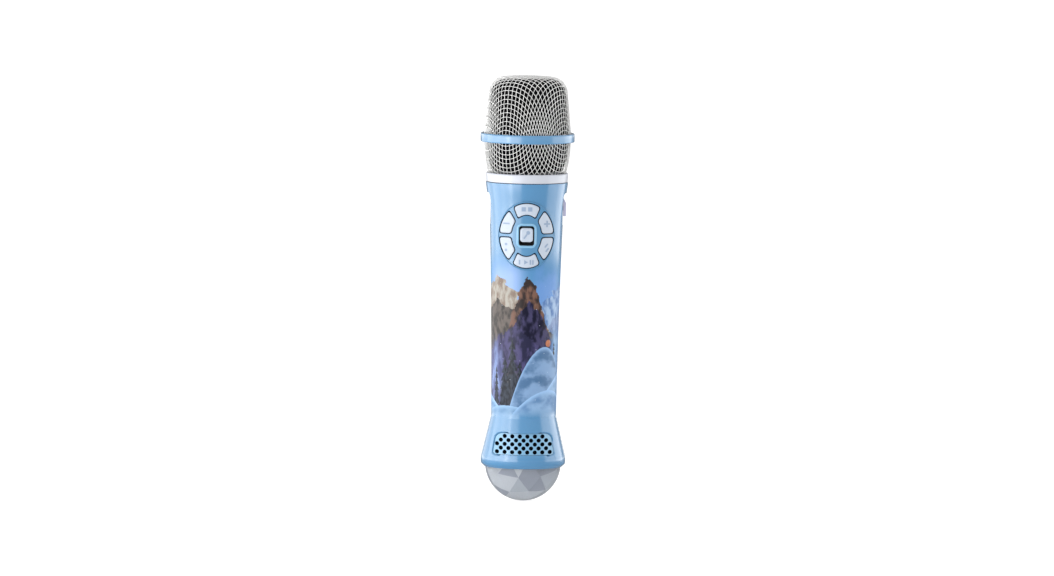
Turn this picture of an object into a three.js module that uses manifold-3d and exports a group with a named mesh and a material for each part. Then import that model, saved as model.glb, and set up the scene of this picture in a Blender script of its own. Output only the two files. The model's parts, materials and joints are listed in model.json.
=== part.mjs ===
// Toy karaoke microphone: a clamshell handle with a wire-mesh head, a ring of six keys round a slide
// switch, a power slide switch on one side, a charging socket on the other, a loudspeaker in the flared
// base and a faceted light dome under it.
//
// Millimetres. +Z runs up the handle's axis to the head, the keys face -Y, and the origin is the lowest
// point of the light dome.
import * as THREE from "three";
import { mergeVertices } from "three/addons/utils/BufferGeometryUtils.js";
import Module from "manifold-3d";

const wasm = await Module();
wasm.setup();

// ---------------------------------------------------------------- driving dimensions

const { PI } = Math;

const GAP = 0.3; // between pieces that touch on the real object
const WALL = 2; // of the moulded handle shells
const ROUND = 32; // sides of the large round pieces
const SMALL_ROUND = 16; // sides of the small ones

const DOME = { radius: 24.35, facetRadius: 22.5, flangeRadius: 25.15, flangeLow: 24.6, flangeHigh: 26.2 };

const CASE = {
  lipRadius: 24.7, // the hole that the dome shows through
  lipHigh: 24.3,
  footLow: 22.3,
  footRadius: 27.3,
  footHigh: 28.4,
  waistRadius: 20.95, // the narrowest place, where the handle meets the flared base
  waistHigh: 55.4,
  gripRadius: 23.4,
  gripHigh: 176.5,
  topRadius: 26.5,
  top: 206,
};

const COLLAR = { radius: 26.5, low: CASE.top + GAP, high: 212.1 };

const HEAD = {
  wire: 1.4, // thickness of the woven mesh
  foam: 3, // thickness of the liner behind it
  neckRadius: 24.7,
  neckLow: 210.8,
  rimRadius: 28.4, // both baskets' rims, inside the ring
  rimSplit: 234.2,
  sideLean: THREE.MathUtils.degToRad(7), // the upper basket's side leans in by this
  cornerRadius: 11,
  cornerAcross: 14, // centre of the upper basket's corner arc
  cornerUp: 262.3,
  crownStart: THREE.MathUtils.degToRad(85.5), // where the corner arc ends and the crown begins
};

const RING = { radius: 30.3, low: 231.9, high: 237.6, bore: 28.7 };

const BOARD = { front: -9.5, back: -7.9, halfWidth: 15.5, low: 84, high: 194 };

const KEYS = {
  centre: 172.8, // height of the ring of keys
  pad: { across: 18.5, up: 22.3, rise: 0.6 }, // raised oval that the keys stand in
  outer: { across: 17.1, up: 20.5 },
  inner: { across: 9.95, up: 13.6 },
  clearance: 0.6, // round each key in its opening
  flange: 0.9, // how far the key's hidden flange reaches past its edge
  corner: 1.7,
  rise: 1.1, // of the key's face above the handle
  travel: 0.8,
};
const SIDE_KEY = THREE.MathUtils.degToRad(32); // slant of the side keys' upper and lower ends
const END_KEY = THREE.MathUtils.degToRad(21.6); // slant of the top and bottom keys' ends
const SIDE_INSET = 1.4; // between a side key's end and the line through the keys' centre
const END_INSET = -0.75; // the same for the top and bottom keys, which reach past that line

const VOICE = {
  centre: KEYS.centre + 0.5, // height of the knob at rest, slid up
  slotCentre: KEYS.centre - 0.1,
  slot: { width: 9.8, height: 12.6 },
  bezel: { width: 13.1, height: 15.5, corner: 3, rise: 0.9 }, // raised frame round the slot
  knob: { width: 8.2, height: 9, front: -25.3, back: -19.6 },
  stem: 1.3, // half width of the stem behind the knob
  travel: 1.5,
};

const SIDE = {
  floor: 23.2, // distance of both side recesses' flat floors from the axis
  low: 178,
  high: 198.9,
  halfDepth: 9,
  corner: 3,
};

const POWER = {
  low: 184.3,
  high: 195.3,
  reach: 25.4,
  halfDepth: 3.6,
  travel: 2,
  stem: [187.9, 190.9],
  body: [183.2, 196], // the switch behind the knob, from its lowest to its highest point
  board: [180, 196.2],
};

const SOCKET = { centre: 188.8, width: 7.5, height: 2.6, length: 5.5 };

const SPEAKER = { centre: 38.5, length: 34, height: 18, front: -10.4, depth: 5.4 };

const GRILLE = {
  centre: 38.1,
  lowWidth: 39.4,
  highWidth: 36.4,
  height: 13.8,
  sunk: 0.8, // below the base's surface
  pitch: 4.85,
  rowPitch: 2.5,
  holeRadius: 1.25,
  rows: [8, 7, 8, 7, 6], // holes in each row, from the lowest
  lowestRow: 33.2,
};

const BATTERY = { radius: 9.2, low: 74, high: 139, back: 3.2 };

const CASE_SCREWS = [
  { name: "case_screw_low_left", x: -9, z: 64 },
  { name: "case_screw_low_right", x: 9, z: 64 },
  { name: "case_screw_high_left", x: -9, z: 198.6 },
  { name: "case_screw_high_right", x: 9, z: 198.6 },
];
const CASE_SCREW = { seat: 4.2, shank: 1.1, head: 2.4, length: 11, well: 2.8, tower: 3.8 };

const BOARD_SCREWS = [
  { name: "board_screw_left", x: -11.5, z: 140 },
  { name: "board_screw_right", x: 11.5, z: 92 },
];
const BOARD_SCREW = { shank: 0.8, head: 2, length: 5.5 };

const LEAD_RADIUS = 0.9;

// ---------------------------------------------------------------- solids

/** The closed solid of a geometry, with its shared vertices merged and its collapsed faces left out. */
function solidOf(geometry) {
  const plain = new THREE.BufferGeometry().setAttribute("position", geometry.getAttribute("position"));
  if (geometry.index) plain.setIndex(geometry.index);
  const merged = mergeVertices(plain, 1e-4);
  const corners = merged.index.array;
  const kept = [];
  for (let i = 0; i < corners.length; i += 3) {
    const [a, b, c] = [corners[i], corners[i + 1], corners[i + 2]];
    if (a !== b && b !== c && c !== a) kept.push(a, b, c);
  }
  const vertProperties = new Float32Array(merged.getAttribute("position").array);
  return new wasm.Manifold(new wasm.Mesh({ numProp: 3, vertProperties, triVerts: new Uint32Array(kept) }));
}

function geometryOf(solid) {
  const mesh = solid.getMesh();
  const positions = new THREE.BufferAttribute(new Float32Array(mesh.vertProperties), mesh.numProp);
  const geometry = new THREE.BufferGeometry().setAttribute("position", positions);
  geometry.setIndex(new THREE.BufferAttribute(new Uint32Array(mesh.triVerts), 1));
  return geometry;
}

const join = (...pieces) => geometryOf(pieces.map(solidOf).reduce((a, b) => a.add(b)));
const cut = (piece, ...tools) => {
  return geometryOf(tools.map(solidOf).reduce((a, b) => a.subtract(b), solidOf(piece)));
};
const common = (a, b) => geometryOf(solidOf(a).intersect(solidOf(b)));

/** An outline that starts at (x, y); curves and lines are added to it as on any THREE.Path. */
const startAt = (x, y) => new THREE.Shape().moveTo(x, y);

/** A solid of revolution about Z. The outline is (radius, height), up its outside and down its inside. */
function revolve(outline, sides = ROUND, divisions = 5) {
  const points = Array.isArray(outline) ? outline.slice() : outline.getPoints(divisions);
  const onAxis = points[0].x < 1e-6;
  if (!onAxis && points[0].distanceTo(points.at(-1)) > 1e-6) points.push(points[0].clone());
  return new THREE.LatheGeometry(points, sides).rotateX(PI / 2);
}

/** A prism along Y. The outline is (x, z). */
function prismY(outline, from, to, divisions = 4) {
  const settings = { depth: to - from, bevelEnabled: false, curveSegments: divisions };
  return new THREE.ExtrudeGeometry(outline, settings).rotateX(PI / 2).translate(0, to, 0);
}

/** A prism along Z. The outline is (x, y). */
function prismZ(outline, from, to, divisions = 4) {
  const settings = { depth: to - from, bevelEnabled: false, curveSegments: divisions };
  return new THREE.ExtrudeGeometry(outline, settings).translate(0, 0, from);
}

/** A prism along X. The outline is (y, z). */
function prismX(outline, from, to, divisions = 4) {
  return prismZ(outline, from, to, divisions).rotateY(PI / 2).rotateX(PI / 2);
}

function box(x, y, z) {
  const [size, middle] = [[], []];
  for (const [low, high] of [x, y, z]) {
    size.push(high - low);
    middle.push((high + low) / 2);
  }
  return new THREE.BoxGeometry(...size).translate(...middle);
}

function rodY(radius, x, z, from, to, sides = 16) {
  return new THREE.CylinderGeometry(radius, radius, to - from, sides).translate(x, (from + to) / 2, z);
}

function rodZ(radius, x, y, from, to, sides = SMALL_ROUND) {
  const rod = new THREE.CylinderGeometry(radius, radius, to - from, sides).rotateX(PI / 2);
  return rod.translate(x, y, (from + to) / 2);
}

function roundedRectangle(across, up, width, height, corner) {
  const [left, right] = [across - width / 2, across + width / 2];
  const [low, high] = [up - height / 2, up + height / 2];
  const shape = startAt(left + corner, low);
  shape.lineTo(right - corner, low).quadraticCurveTo(right, low, right, low + corner);
  shape.lineTo(right, high - corner).quadraticCurveTo(right, high, right - corner, high);
  shape.lineTo(left + corner, high).quadraticCurveTo(left, high, left, high - corner);
  return shape.lineTo(left, low + corner).quadraticCurveTo(left, low, left + corner, low);
}

// ---------------------------------------------------------------- the handle's outside

/** The handle's outside from the bottom lip to the top rim, as (radius, height). */
function caseOutline() {
  const path = startAt(CASE.lipRadius + GAP, CASE.footLow);
  path.quadraticCurveTo(CASE.footRadius - 0.1, CASE.footLow + 0.2, CASE.footRadius, CASE.footHigh);
  path.lineTo(CASE.waistRadius, CASE.waistHigh);
  path.quadraticCurveTo(21.45, 118, CASE.gripRadius, CASE.gripHigh);
  path.bezierCurveTo(23.7, 190, 25.9, 199, CASE.topRadius, CASE.top);
  return path.getPoints(3);
}

/** Radius of the handle's outside at a height. */
function caseRadius(height) {
  const points = caseOutline();
  const next = points.findIndex((point) => point.y >= height);
  if (next < 1) return points[0].x;
  const [a, b] = [points[next - 1], points[next]];
  return THREE.MathUtils.mapLinear(height, a.y, b.y, a.x, b.x);
}

/** The part of the handle's wall between two heights, from `inside` to `outside` of its surface. */
function band(inside, outside, low, high) {
  const between = caseOutline().filter((point) => point.y > low && point.y < high);
  const ends = [low, ...between.map((point) => point.y), high];
  const up = ends.map((z) => new THREE.Vector2(caseRadius(z) + outside, z));
  const down = ends.map((z) => new THREE.Vector2(caseRadius(z) + inside, z)).reverse();
  return revolve([...up, ...down]);
}

/** Whole handle tube, before it is parted: wall, bottom lip, and the rib above the light board. */
function caseTube() {
  const outside = caseOutline();
  const inside = outside.filter((point) => point.y > CASE.footHigh - 1);
  const wall = outside.map((point) => point.clone());
  wall.push(...inside.map((point) => new THREE.Vector2(point.x - WALL, point.y)).reverse());
  wall.push(new THREE.Vector2(CASE.footRadius - WALL, CASE.lipHigh));
  wall.push(new THREE.Vector2(CASE.lipRadius, CASE.lipHigh), new THREE.Vector2(CASE.lipRadius, CASE.footLow));
  const rib = startAt(20, 28.4).lineTo(25.8, 28.4).lineTo(25.8, 29.2).lineTo(20, 29.2);
  return join(revolve(wall), revolve(rib));
}

/** The thickening behind a side recess, which keeps its flat floor closed. */
function sidePad(side) {
  const [near, far] = [SIDE.floor - WALL, SIDE.floor + 1];
  const x = side > 0 ? [near, far] : [-far, -near];
  const block = box(x, [-SIDE.halfDepth - 1, SIDE.halfDepth + 1], [SIDE.low - 1, SIDE.high + 1]);
  return common(block, solidHandle());
}

/** What is cut away outside a side recess's flat floor. */
function sideRecess(side) {
  const middle = (SIDE.low + SIDE.high) / 2;
  const shape = roundedRectangle(0, middle, 2 * SIDE.halfDepth, SIDE.high - SIDE.low, SIDE.corner);
  const [near, far] = [SIDE.floor, SIDE.floor + 8];
  return side > 0 ? prismX(shape, near, far) : prismX(shape, -far, -near);
}

/** Lowest and highest point of the slot that the power knob's stem slides in. */
const powerSlot = () => [POWER.stem[0] - 0.6, POWER.stem[1] + POWER.travel + 0.6];

/** Slot for the power switch's stem and the mouth of the charging socket, cut through both halves. */
function sideOpenings() {
  const stem = box([18, 30], [-2.2, 2.2], powerSlot());
  const [wide, tall] = [SOCKET.width + 2 * GAP, SOCKET.height + 2 * GAP];
  const mouth = roundedRectangle(0, SOCKET.centre, tall, wide, 0.6);
  return [stem, prismX(mouth, -30, -18)];
}

/** One half of the tube with the side recesses, before its own features are added. */
function halfCase(front) {
  const far = 60;
  const kept = box([-far, far], front ? [-far, -GAP / 2] : [GAP / 2, far], [0, CASE.top + 1]);
  const tube = join(caseTube(), sidePad(1), sidePad(-1));
  return common(cut(tube, sideRecess(1), sideRecess(-1), ...sideOpenings()), kept);
}

// ---------------------------------------------------------------- keys

const KEY_SPANS = [
  { name: "top", from: -END_KEY, to: END_KEY, inset: END_INSET, stem: [0, 17] },
  { name: "upper_right", from: SIDE_KEY, to: PI / 2, inset: SIDE_INSET, stem: [10.5, 7.6] },
  { name: "lower_right", from: PI / 2, to: PI - SIDE_KEY, inset: SIDE_INSET, stem: [10.5, -7.6] },
  { name: "bottom", from: PI - END_KEY, to: PI + END_KEY, inset: END_INSET, stem: [0, -17] },
  { name: "lower_left", from: PI + SIDE_KEY, to: 1.5 * PI, inset: SIDE_INSET, stem: [-10.5, -7.6] },
  { name: "upper_left", from: 1.5 * PI, to: 2 * PI - SIDE_KEY, inset: SIDE_INSET, stem: [-10.5, 7.6] },
];

/** Where a line beside the ray at `angle` (clockwise from up) meets an ellipse round the keys' centre. */
function rayMeets(angle, beside, ellipse) {
  const along = new THREE.Vector2(Math.sin(angle), Math.cos(angle));
  const across = new THREE.Vector2(Math.cos(angle), -Math.sin(angle));
  const weigh = (p, q) => (p.x * q.x) / ellipse.across ** 2 + (p.y * q.y) / ellipse.up ** 2;
  const [a, b] = [weigh(along, along), 2 * beside * weigh(along, across)];
  const c = beside ** 2 * weigh(across, across) - 1;
  const reach = (-b + Math.sqrt(b * b - 4 * a * c)) / (2 * a);
  return across.multiplyScalar(beside).addScaledVector(along, reach);
}

/** A key's outline, a rounded piece of the ring between two ellipses, grown by `grow` on every side. */
function keyOutline(span, grow) {
  const outer = { across: KEYS.outer.across + grow, up: KEYS.outer.up + grow };
  const inner = { across: KEYS.inner.across - grow, up: KEYS.inner.up - grow };
  const beside = span.inset - grow;
  const corner = KEYS.corner + grow / 2;
  const corners = {
    outerFrom: rayMeets(span.from, beside, outer),
    outerTo: rayMeets(span.to, -beside, outer),
    innerTo: rayMeets(span.to, -beside, inner),
    innerFrom: rayMeets(span.from, beside, inner),
  };
  const angleOn = (ellipse, point, trim) => {
    return Math.atan2(point.y / ellipse.up, point.x / ellipse.across) + trim / point.length();
  };
  const towards = (from, to) => from.clone().addScaledVector(to.clone().sub(from).normalize(), corner);
  const outerStart = angleOn(outer, corners.outerFrom, -corner);
  const outerEnd = angleOn(outer, corners.outerTo, corner);
  const innerStart = angleOn(inner, corners.innerTo, corner);
  const innerEnd = angleOn(inner, corners.innerFrom, -corner);
  const on = (ellipse, angle) => [ellipse.across * Math.cos(angle), ellipse.up * Math.sin(angle)];

  const shape = startAt(...towards(corners.outerFrom, corners.innerFrom));
  shape.quadraticCurveTo(...corners.outerFrom, ...on(outer, outerStart));
  shape.absellipse(0, 0, outer.across, outer.up, outerStart, outerEnd, true);
  shape.quadraticCurveTo(...corners.outerTo, ...towards(corners.outerTo, corners.innerTo));
  shape.lineTo(...towards(corners.innerTo, corners.outerTo));
  shape.quadraticCurveTo(...corners.innerTo, ...on(inner, innerStart));
  shape.absellipse(0, 0, inner.across, inner.up, innerStart, innerEnd, false);
  shape.quadraticCurveTo(...corners.innerFrom, ...towards(corners.innerFrom, corners.outerFrom));
  return shape;
}

const keyPrism = (span, grow) => prismY(keyOutline(span, grow), -30, 0, 3).translate(0, 0, KEYS.centre);

const PLUNGER = { radius: 1.7, front: -14.6, back: -12.3 };

/** Key cap, its flange behind the shell and the stem that reaches its switch. */
function keyCap(span) {
  const [low, high] = [KEYS.centre - 25, KEYS.centre + 25];
  const face = common(keyPrism(span, 0), band(-3, KEYS.rise, low, high));
  const flange = common(keyPrism(span, KEYS.flange), band(-3, -WALL - GAP, low, high));
  const [x, z] = [span.stem[0], KEYS.centre + span.stem[1]];
  const root = -Math.sqrt((caseRadius(z) - 1) ** 2 - x ** 2);
  return join(face, flange, rodY(PLUNGER.radius, x, z, root, PLUNGER.front - GAP, 8));
}

function plunger(span) {
  return rodY(PLUNGER.radius, span.stem[0], KEYS.centre + span.stem[1], PLUNGER.front, PLUNGER.back, 8);
}

/** Square push switch on the main board, with the blind hole that its plunger slides in. */
function keySwitch(span) {
  const [x, z] = [span.stem[0], KEYS.centre + span.stem[1]];
  const [front, back, half] = [-13.3, BOARD.front - GAP, 2.5];
  const body = box([x - half, x + half], [front, back], [z - half, z + half]);
  const pressed = PLUNGER.back + KEYS.travel;
  return cut(body, rodY(PLUNGER.radius + GAP, x, z, front - 1, pressed + GAP, 8));
}

// ---------------------------------------------------------------- handle shells

/** The window for the speaker grille and the grille itself share this outline, grown as asked. */
function grilleOutline(grow) {
  const half = GRILLE.height / 2 + grow;
  const [low, high] = [GRILLE.centre - half, GRILLE.centre + half];
  const [wide, narrow] = [GRILLE.lowWidth / 2 + grow, GRILLE.highWidth / 2 + grow];
  const [soft, tight] = [4, 2.5];
  const shape = startAt(-wide + tight, low).lineTo(wide - tight, low);
  shape.quadraticCurveTo(wide, low, wide - 0.2, low + tight).lineTo(narrow + 0.6, high - soft);
  shape.quadraticCurveTo(narrow, high, narrow - soft, high).lineTo(-narrow + soft, high);
  shape.quadraticCurveTo(-narrow, high, -narrow - 0.6, high - soft).lineTo(-wide + 0.2, low + tight);
  return shape.quadraticCurveTo(-wide, low, -wide + tight, low);
}

function oval(across, up) {
  const shape = new THREE.Shape();
  return shape.absellipse(0, 0, across, up, 0, 2 * PI, false);
}

function frontShell() {
  const [low, high] = [KEYS.centre - 25, KEYS.centre + 25];
  const ovalPrism = prismY(oval(KEYS.pad.across, KEYS.pad.up), -30, -8, 16).translate(0, 0, KEYS.centre);
  const pad = common(ovalPrism, band(-0.5, KEYS.pad.rise, low, high));
  const { width, height } = VOICE.slot;
  const { bezel: raised } = VOICE;
  const bezelOutline = roundedRectangle(0, VOICE.slotCentre, raised.width, raised.height, raised.corner);
  const bezel = common(prismY(bezelOutline, -30, -15), band(-0.5, raised.rise, low, high));
  const wells = KEY_SPANS.map((span) => keyPrism(span, KEYS.clearance));
  const slotOutline = roundedRectangle(0, VOICE.slotCentre, width + 2 * GAP, height + 2 * GAP, 1.9);
  const window = prismY(grilleOutline(GAP), -40, -5);
  const towers = CASE_SCREWS.map(({ x, z }) => caseTower(x, z, 2));
  const pilots = CASE_SCREWS.map(({ x, z }) => rodY(CASE_SCREW.shank + GAP, x, z, -9.5, 3, 8));
  const posts = BOARD_SCREWS.map(({ x, z }) => frontPost(x, z, 2.4, BOARD.front - GAP));
  const postBore = BOARD_SCREW.shank + GAP;
  const postPilots = BOARD_SCREWS.map(({ x, z }) => rodY(postBore, x, z, -14.5, BOARD.front, 8));
  const shell = join(halfCase(true), pad, bezel, ...towers, ...posts);
  return cut(shell, ...wells, prismY(slotOutline, -30, -12), window, ...pilots, ...postPilots);
}

/** A solid post from the front wall to `back`. */
function frontPost(x, z, radius, back) {
  const wallAt = -Math.sqrt((caseRadius(z - radius) - WALL / 2) ** 2 - (Math.abs(x) + radius) ** 2);
  const post = rodY(radius, x, z, wallAt - 3, back, 12);
  return common(post, solidHandle());
}

const caseTower = (x, z, back) => frontPost(x, z, 2.7, back);

/** The handle's outside as one full solid, for trimming what stands on its wall. */
function solidHandle() {
  const outline = caseOutline().map((point) => new THREE.Vector2(point.x - WALL / 2, point.y));
  return revolve([new THREE.Vector2(0, CASE.footLow), ...outline, new THREE.Vector2(0, CASE.top)]);
}

/** Rear half, with a sunk seat for each case screw. */
function rearShell() {
  const seats = CASE_SCREWS.map(({ x, z }) => {
    const tower = rodY(CASE_SCREW.tower, x, z, 2 + GAP, 30, 16);
    return common(tower, solidHandle());
  });
  const wells = CASE_SCREWS.map(({ x, z }) => rodY(CASE_SCREW.well, x, z, CASE_SCREW.seat, 40, 16));
  const holes = CASE_SCREWS.map(({ x, z }) => rodY(CASE_SCREW.shank + GAP, x, z, 1, 8, 12));
  return cut(join(halfCase(false), ...seats), ...wells, ...holes);
}

/** Drilled panel in the base, held by a flange behind the shell. */
function speakerGrille() {
  const [low, high] = [GRILLE.centre - 12, GRILLE.centre + 12];
  const face = common(prismY(grilleOutline(0), -40, -5), band(-3.1, -GRILLE.sunk, low, high));
  const flange = common(prismY(grilleOutline(1.5), -40, -5), band(-3.1, -WALL - GAP, low, high));
  const holes = GRILLE.rows.flatMap((count, row) =>
    Array.from({ length: count }, (_, i) => {
      const x = (i - (count - 1) / 2) * GRILLE.pitch;
      return rodY(GRILLE.holeRadius, x, GRILLE.lowestRow + row * GRILLE.rowPitch, -40, -5, 6);
    }),
  );
  return cut(join(face, flange), ...holes);
}

// ---------------------------------------------------------------- head

/** Upper basket's outside from its rim to the axis, moved in by `inset`. */
function upperBasketPath(path, inset) {
  const { cornerAcross: across, cornerUp: up, sideLean, crownStart } = HEAD;
  const corner = HEAD.cornerRadius;
  const sideTop = new THREE.Vector2(Math.cos(sideLean), Math.sin(sideLean)).multiplyScalar(corner);
  sideTop.add(new THREE.Vector2(across, up));
  const sideLow = RING.high;
  path.lineTo(sideTop.x + (sideTop.y - sideLow) * Math.tan(sideLean) - inset, sideLow);
  path.absarc(across, up, corner - inset, sideLean, crownStart, false);
  const crownRadius = corner + across / Math.cos(crownStart);
  const crownCentre = up - across * Math.tan(crownStart);
  return path.absarc(0, crownCentre, crownRadius - inset, crownStart, PI / 2, false);
}

function upperBasket() {
  const low = HEAD.rimSplit + GAP / 2;
  const outside = upperBasketPath(startAt(HEAD.rimRadius, low), 0).getPoints(3);
  const inside = upperBasketPath(startAt(HEAD.rimRadius - HEAD.wire, low), HEAD.wire).getPoints(3);
  return revolve([...outside, ...inside.reverse()], 24);
}

function lowerBasketPath(inset) {
  const path = startAt(HEAD.neckRadius - inset, HEAD.neckLow);
  path.bezierCurveTo(26.6 - inset, 213.5, 28 - inset, 222, HEAD.rimRadius - inset, HEAD.rimSplit - GAP / 2);
  return path.getPoints(4);
}

const lowerBasket = () => revolve([...lowerBasketPath(0), ...lowerBasketPath(HEAD.wire).reverse()], 24);

function headRing() {
  const { radius, low, high, bore } = RING;
  const path = startAt(bore, low).lineTo(radius - 0.9, low).quadraticCurveTo(radius, low, radius, low + 0.9);
  path.lineTo(radius, high - 0.9).quadraticCurveTo(radius, high, radius - 0.9, high).lineTo(bore, high);
  return revolve(path, ROUND, 2);
}

/** Foam liner of both baskets. */
function foamWindscreen() {
  const inset = HEAD.wire + GAP;
  const low = 213.2;
  const start = (more) => {
    const path = startAt(22.4 - more, low).bezierCurveTo(24.4 - more, 216, 26 - more, 222, 26.2 - more, 230);
    return upperBasketPath(path, inset + more).getPoints(2);
  };
  return revolve([...start(0), ...start(HEAD.foam).reverse()], 20);
}

/** Moulded base of the head: spigot in the handle, seat of the lower basket, hollow post and capsule cup. */
function headBase() {
  const path = startAt(20, 203.5).lineTo(22.4, 203.5).lineTo(22.4, 208.1).lineTo(24.3, 208.1);
  path.lineTo(24.3, 210.5).lineTo(7, 210.5).lineTo(7, 232).lineTo(14, 232).lineTo(14, 243.5);
  path.lineTo(12.4, 243.5).lineTo(12.4, 233.5).lineTo(4, 233.5).lineTo(4, 208.1).lineTo(20, 208.1);
  return revolve(path, 24);
}

function capsuleMount() {
  const path = startAt(3, 233.8).lineTo(12.1, 233.8).lineTo(12.1, 244.2).lineTo(9.5, 244.2);
  return revolve(path.lineTo(9.5, 235.8).lineTo(3, 235.8), SMALL_ROUND);
}

function micCapsule() {
  const path = startAt(0, 236.1).lineTo(9.2, 236.1).lineTo(9.2, 246).quadraticCurveTo(9.2, 247.2, 8, 247.2);
  return revolve(path.lineTo(0, 247.2), SMALL_ROUND, 3);
}

function collarRing() {
  const { radius, low, high } = COLLAR;
  const path = startAt(22.8, low).lineTo(radius - 0.3, low).lineTo(radius, low + 0.4);
  path.lineTo(radius, high - 0.8).quadraticCurveTo(radius, high, radius - 0.5, high);
  return revolve(path.lineTo(25.6, high).lineTo(25.6, low + 1.5).lineTo(22.8, low + 1.5), ROUND, 2);
}

// ---------------------------------------------------------------- switches and socket

/** Knob of the voice switch and the stem that drives it. */
function voiceKnob() {
  const { width, height, front, back } = VOICE.knob;
  const cap = prismY(roundedRectangle(0, VOICE.centre, width, height, 1.6), front, back);
  const { centre, stem } = VOICE;
  return join(cap, box([-stem, stem], [back - 1, -12.4], [centre - stem, centre + stem]));
}

/** The slot that the voice knob's stem slides in, between two depths. */
function voiceSlot(front, back) {
  const room = VOICE.stem + GAP;
  return box([-room, room], [front, back], [VOICE.centre - VOICE.travel - room, VOICE.centre + room]);
}

/** Black tray behind the voice knob, with the slot that its stem slides in. */
function voiceTray() {
  const { width, height } = VOICE.slot;
  const [front, floor] = [-23.4, -19.2];
  const outline = (grow, corner) => {
    return roundedRectangle(0, VOICE.slotCentre, width + grow, height + grow, corner);
  };
  const wall = prismY(outline(0, 1.6), front, floor + 0.8);
  const hollow = prismY(outline(-1, 1.3), front - 1, floor);
  const plate = prismY(outline(2.4, 2), floor, floor + 0.8);
  return cut(join(wall, plate), hollow, voiceSlot(floor - 2, floor + 2));
}

function voiceSwitch() {
  const [front, back] = [-14.2, BOARD.front - GAP];
  const body = box([-4.2, 4.2], [front, back], [VOICE.centre - 7, VOICE.centre + 5.5]);
  return cut(body, voiceSlot(front - 1, back - 1.2));
}

/** Thumb knob of the power switch: steep below, ramped above, on a stem through the shell. */
function powerKnob() {
  const root = SIDE.floor + GAP;
  const shape = startAt(root, POWER.low).lineTo(POWER.reach - 0.3, POWER.low);
  shape.lineTo(POWER.reach, POWER.low + 0.4).lineTo(POWER.reach, POWER.high - 2.8);
  shape.lineTo(root + 0.5, POWER.high).lineTo(root, POWER.high);
  const thumb = prismY(shape, -POWER.halfDepth, POWER.halfDepth);
  return join(thumb, box([18.9, root + 1], [-1.8, 1.8], POWER.stem));
}

function powerSwitch() {
  const body = box([16.5, 20.4], [-3.2, 3.2], POWER.body);
  return cut(body, box([18.3, 21], [-2.1, 2.1], powerSlot()));
}

const powerBoard = () => box([15, 16.2], [-4.6, 4.6], POWER.board);

function chargeSocket() {
  const [mouth, back] = [-SIDE.floor + GAP, -SIDE.floor + GAP + SOCKET.length];
  const outline = (thin) => {
    return roundedRectangle(0, SOCKET.centre, SOCKET.height - thin, SOCKET.width - thin, 0.5);
  };
  const tongue = box([mouth + 1, back - 0.5], [-0.3, 0.3], [SOCKET.centre - 2, SOCKET.centre + 2]);
  return join(cut(prismX(outline(0), mouth, back), prismX(outline(0.8), mouth - 1, back - 0.8)), tongue);
}

const chargeBoard = () => box([-20.6, -8], [SOCKET.height / 2 + GAP, 2.8], [181, 194.3]);

// ---------------------------------------------------------------- boards, battery, speaker, light

/** Main board, with clearance holes for its two screws. */
function mainBoard() {
  const { halfWidth, low, high } = BOARD;
  const outline = roundedRectangle(0, (low + high) / 2, 2 * halfWidth, high - low, 2);
  const holes = BOARD_SCREWS.map(({ x, z }) => rodY(1.3, x, z, BOARD.front - 1, BOARD.back + 1, 12));
  return cut(prismY(outline, BOARD.front, BOARD.back, 3), ...holes);
}

const audioChip = () => box([-5, 5], [BOARD.front - 1.9, BOARD.front - GAP], [118, 128]);

/** Shank and head along Y, driven from the rear, with a cross recess. */
function screw({ x, z }, seat, shank, head, length) {
  const top = seat + head * 0.75;
  const body = join(
    rodY(head, x, z, seat, top, 12),
    rodY(shank, x, z, seat - length, seat + 0.2, 8),
  );
  const [long, thin, deep] = [head * 0.6, head * 0.16, head * 0.4];
  const upright = box([x - thin, x + thin], [top - deep, top + 1], [z - long, z + long]);
  const level = box([x - long, x + long], [top - deep, top + 1], [z - thin, z + thin]);
  return cut(body, upright, level);
}

function batteryCell() {
  const { radius, low, high, back } = BATTERY;
  const path = startAt(0, low).lineTo(radius - 0.6, low).lineTo(radius, low + 0.6).lineTo(radius, high - 1.6);
  path.lineTo(radius - 0.6, high - 1).lineTo(3, high - 1).lineTo(3, high).lineTo(0, high);
  return revolve(path, SMALL_ROUND).translate(0, back, 0);
}

/** Open cradle behind the cell, with a wall at each end. */
function batteryCradle() {
  const { radius, low, high, back } = BATTERY;
  const [inside, outside, reach] = [radius + GAP, radius + 1.7, 1.3];
  const trough = new THREE.Shape();
  trough.absarc(0, back, outside, 0, PI, false);
  trough.absarc(0, back, inside, PI, 0, true);
  const end = new THREE.Shape().absarc(0, back, outside, 0, PI, false);
  return join(
    prismZ(trough, low - reach - GAP, high + reach + GAP, 8),
    prismZ(end, low - reach - GAP, low - GAP, 8),
    prismZ(end, high + GAP, high + reach + GAP, 8),
  );
}

function racetrack(length, height) {
  const [bend, run] = [height / 2, (length - height) / 2];
  const shape = startAt(-run, -bend).lineTo(run, -bend).absarc(run, 0, bend, -PI / 2, PI / 2, false);
  return shape.lineTo(-run, bend).absarc(-run, 0, bend, PI / 2, 1.5 * PI, false);
}

/** Stadium-shaped speaker basket, open in front for its cone. */
function speakerFrame() {
  const { length, height, front, depth, centre } = SPEAKER;
  const plate = prismY(racetrack(length, height), front, front + 1.4);
  const body = prismY(racetrack(length - 5, height - 5), front + 1, front + depth);
  const hollow = prismY(racetrack(length - 7, height - 7), front - 1, front + depth - 1.2);
  return cut(join(plate, body), hollow).translate(0, 0, centre);
}

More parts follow.
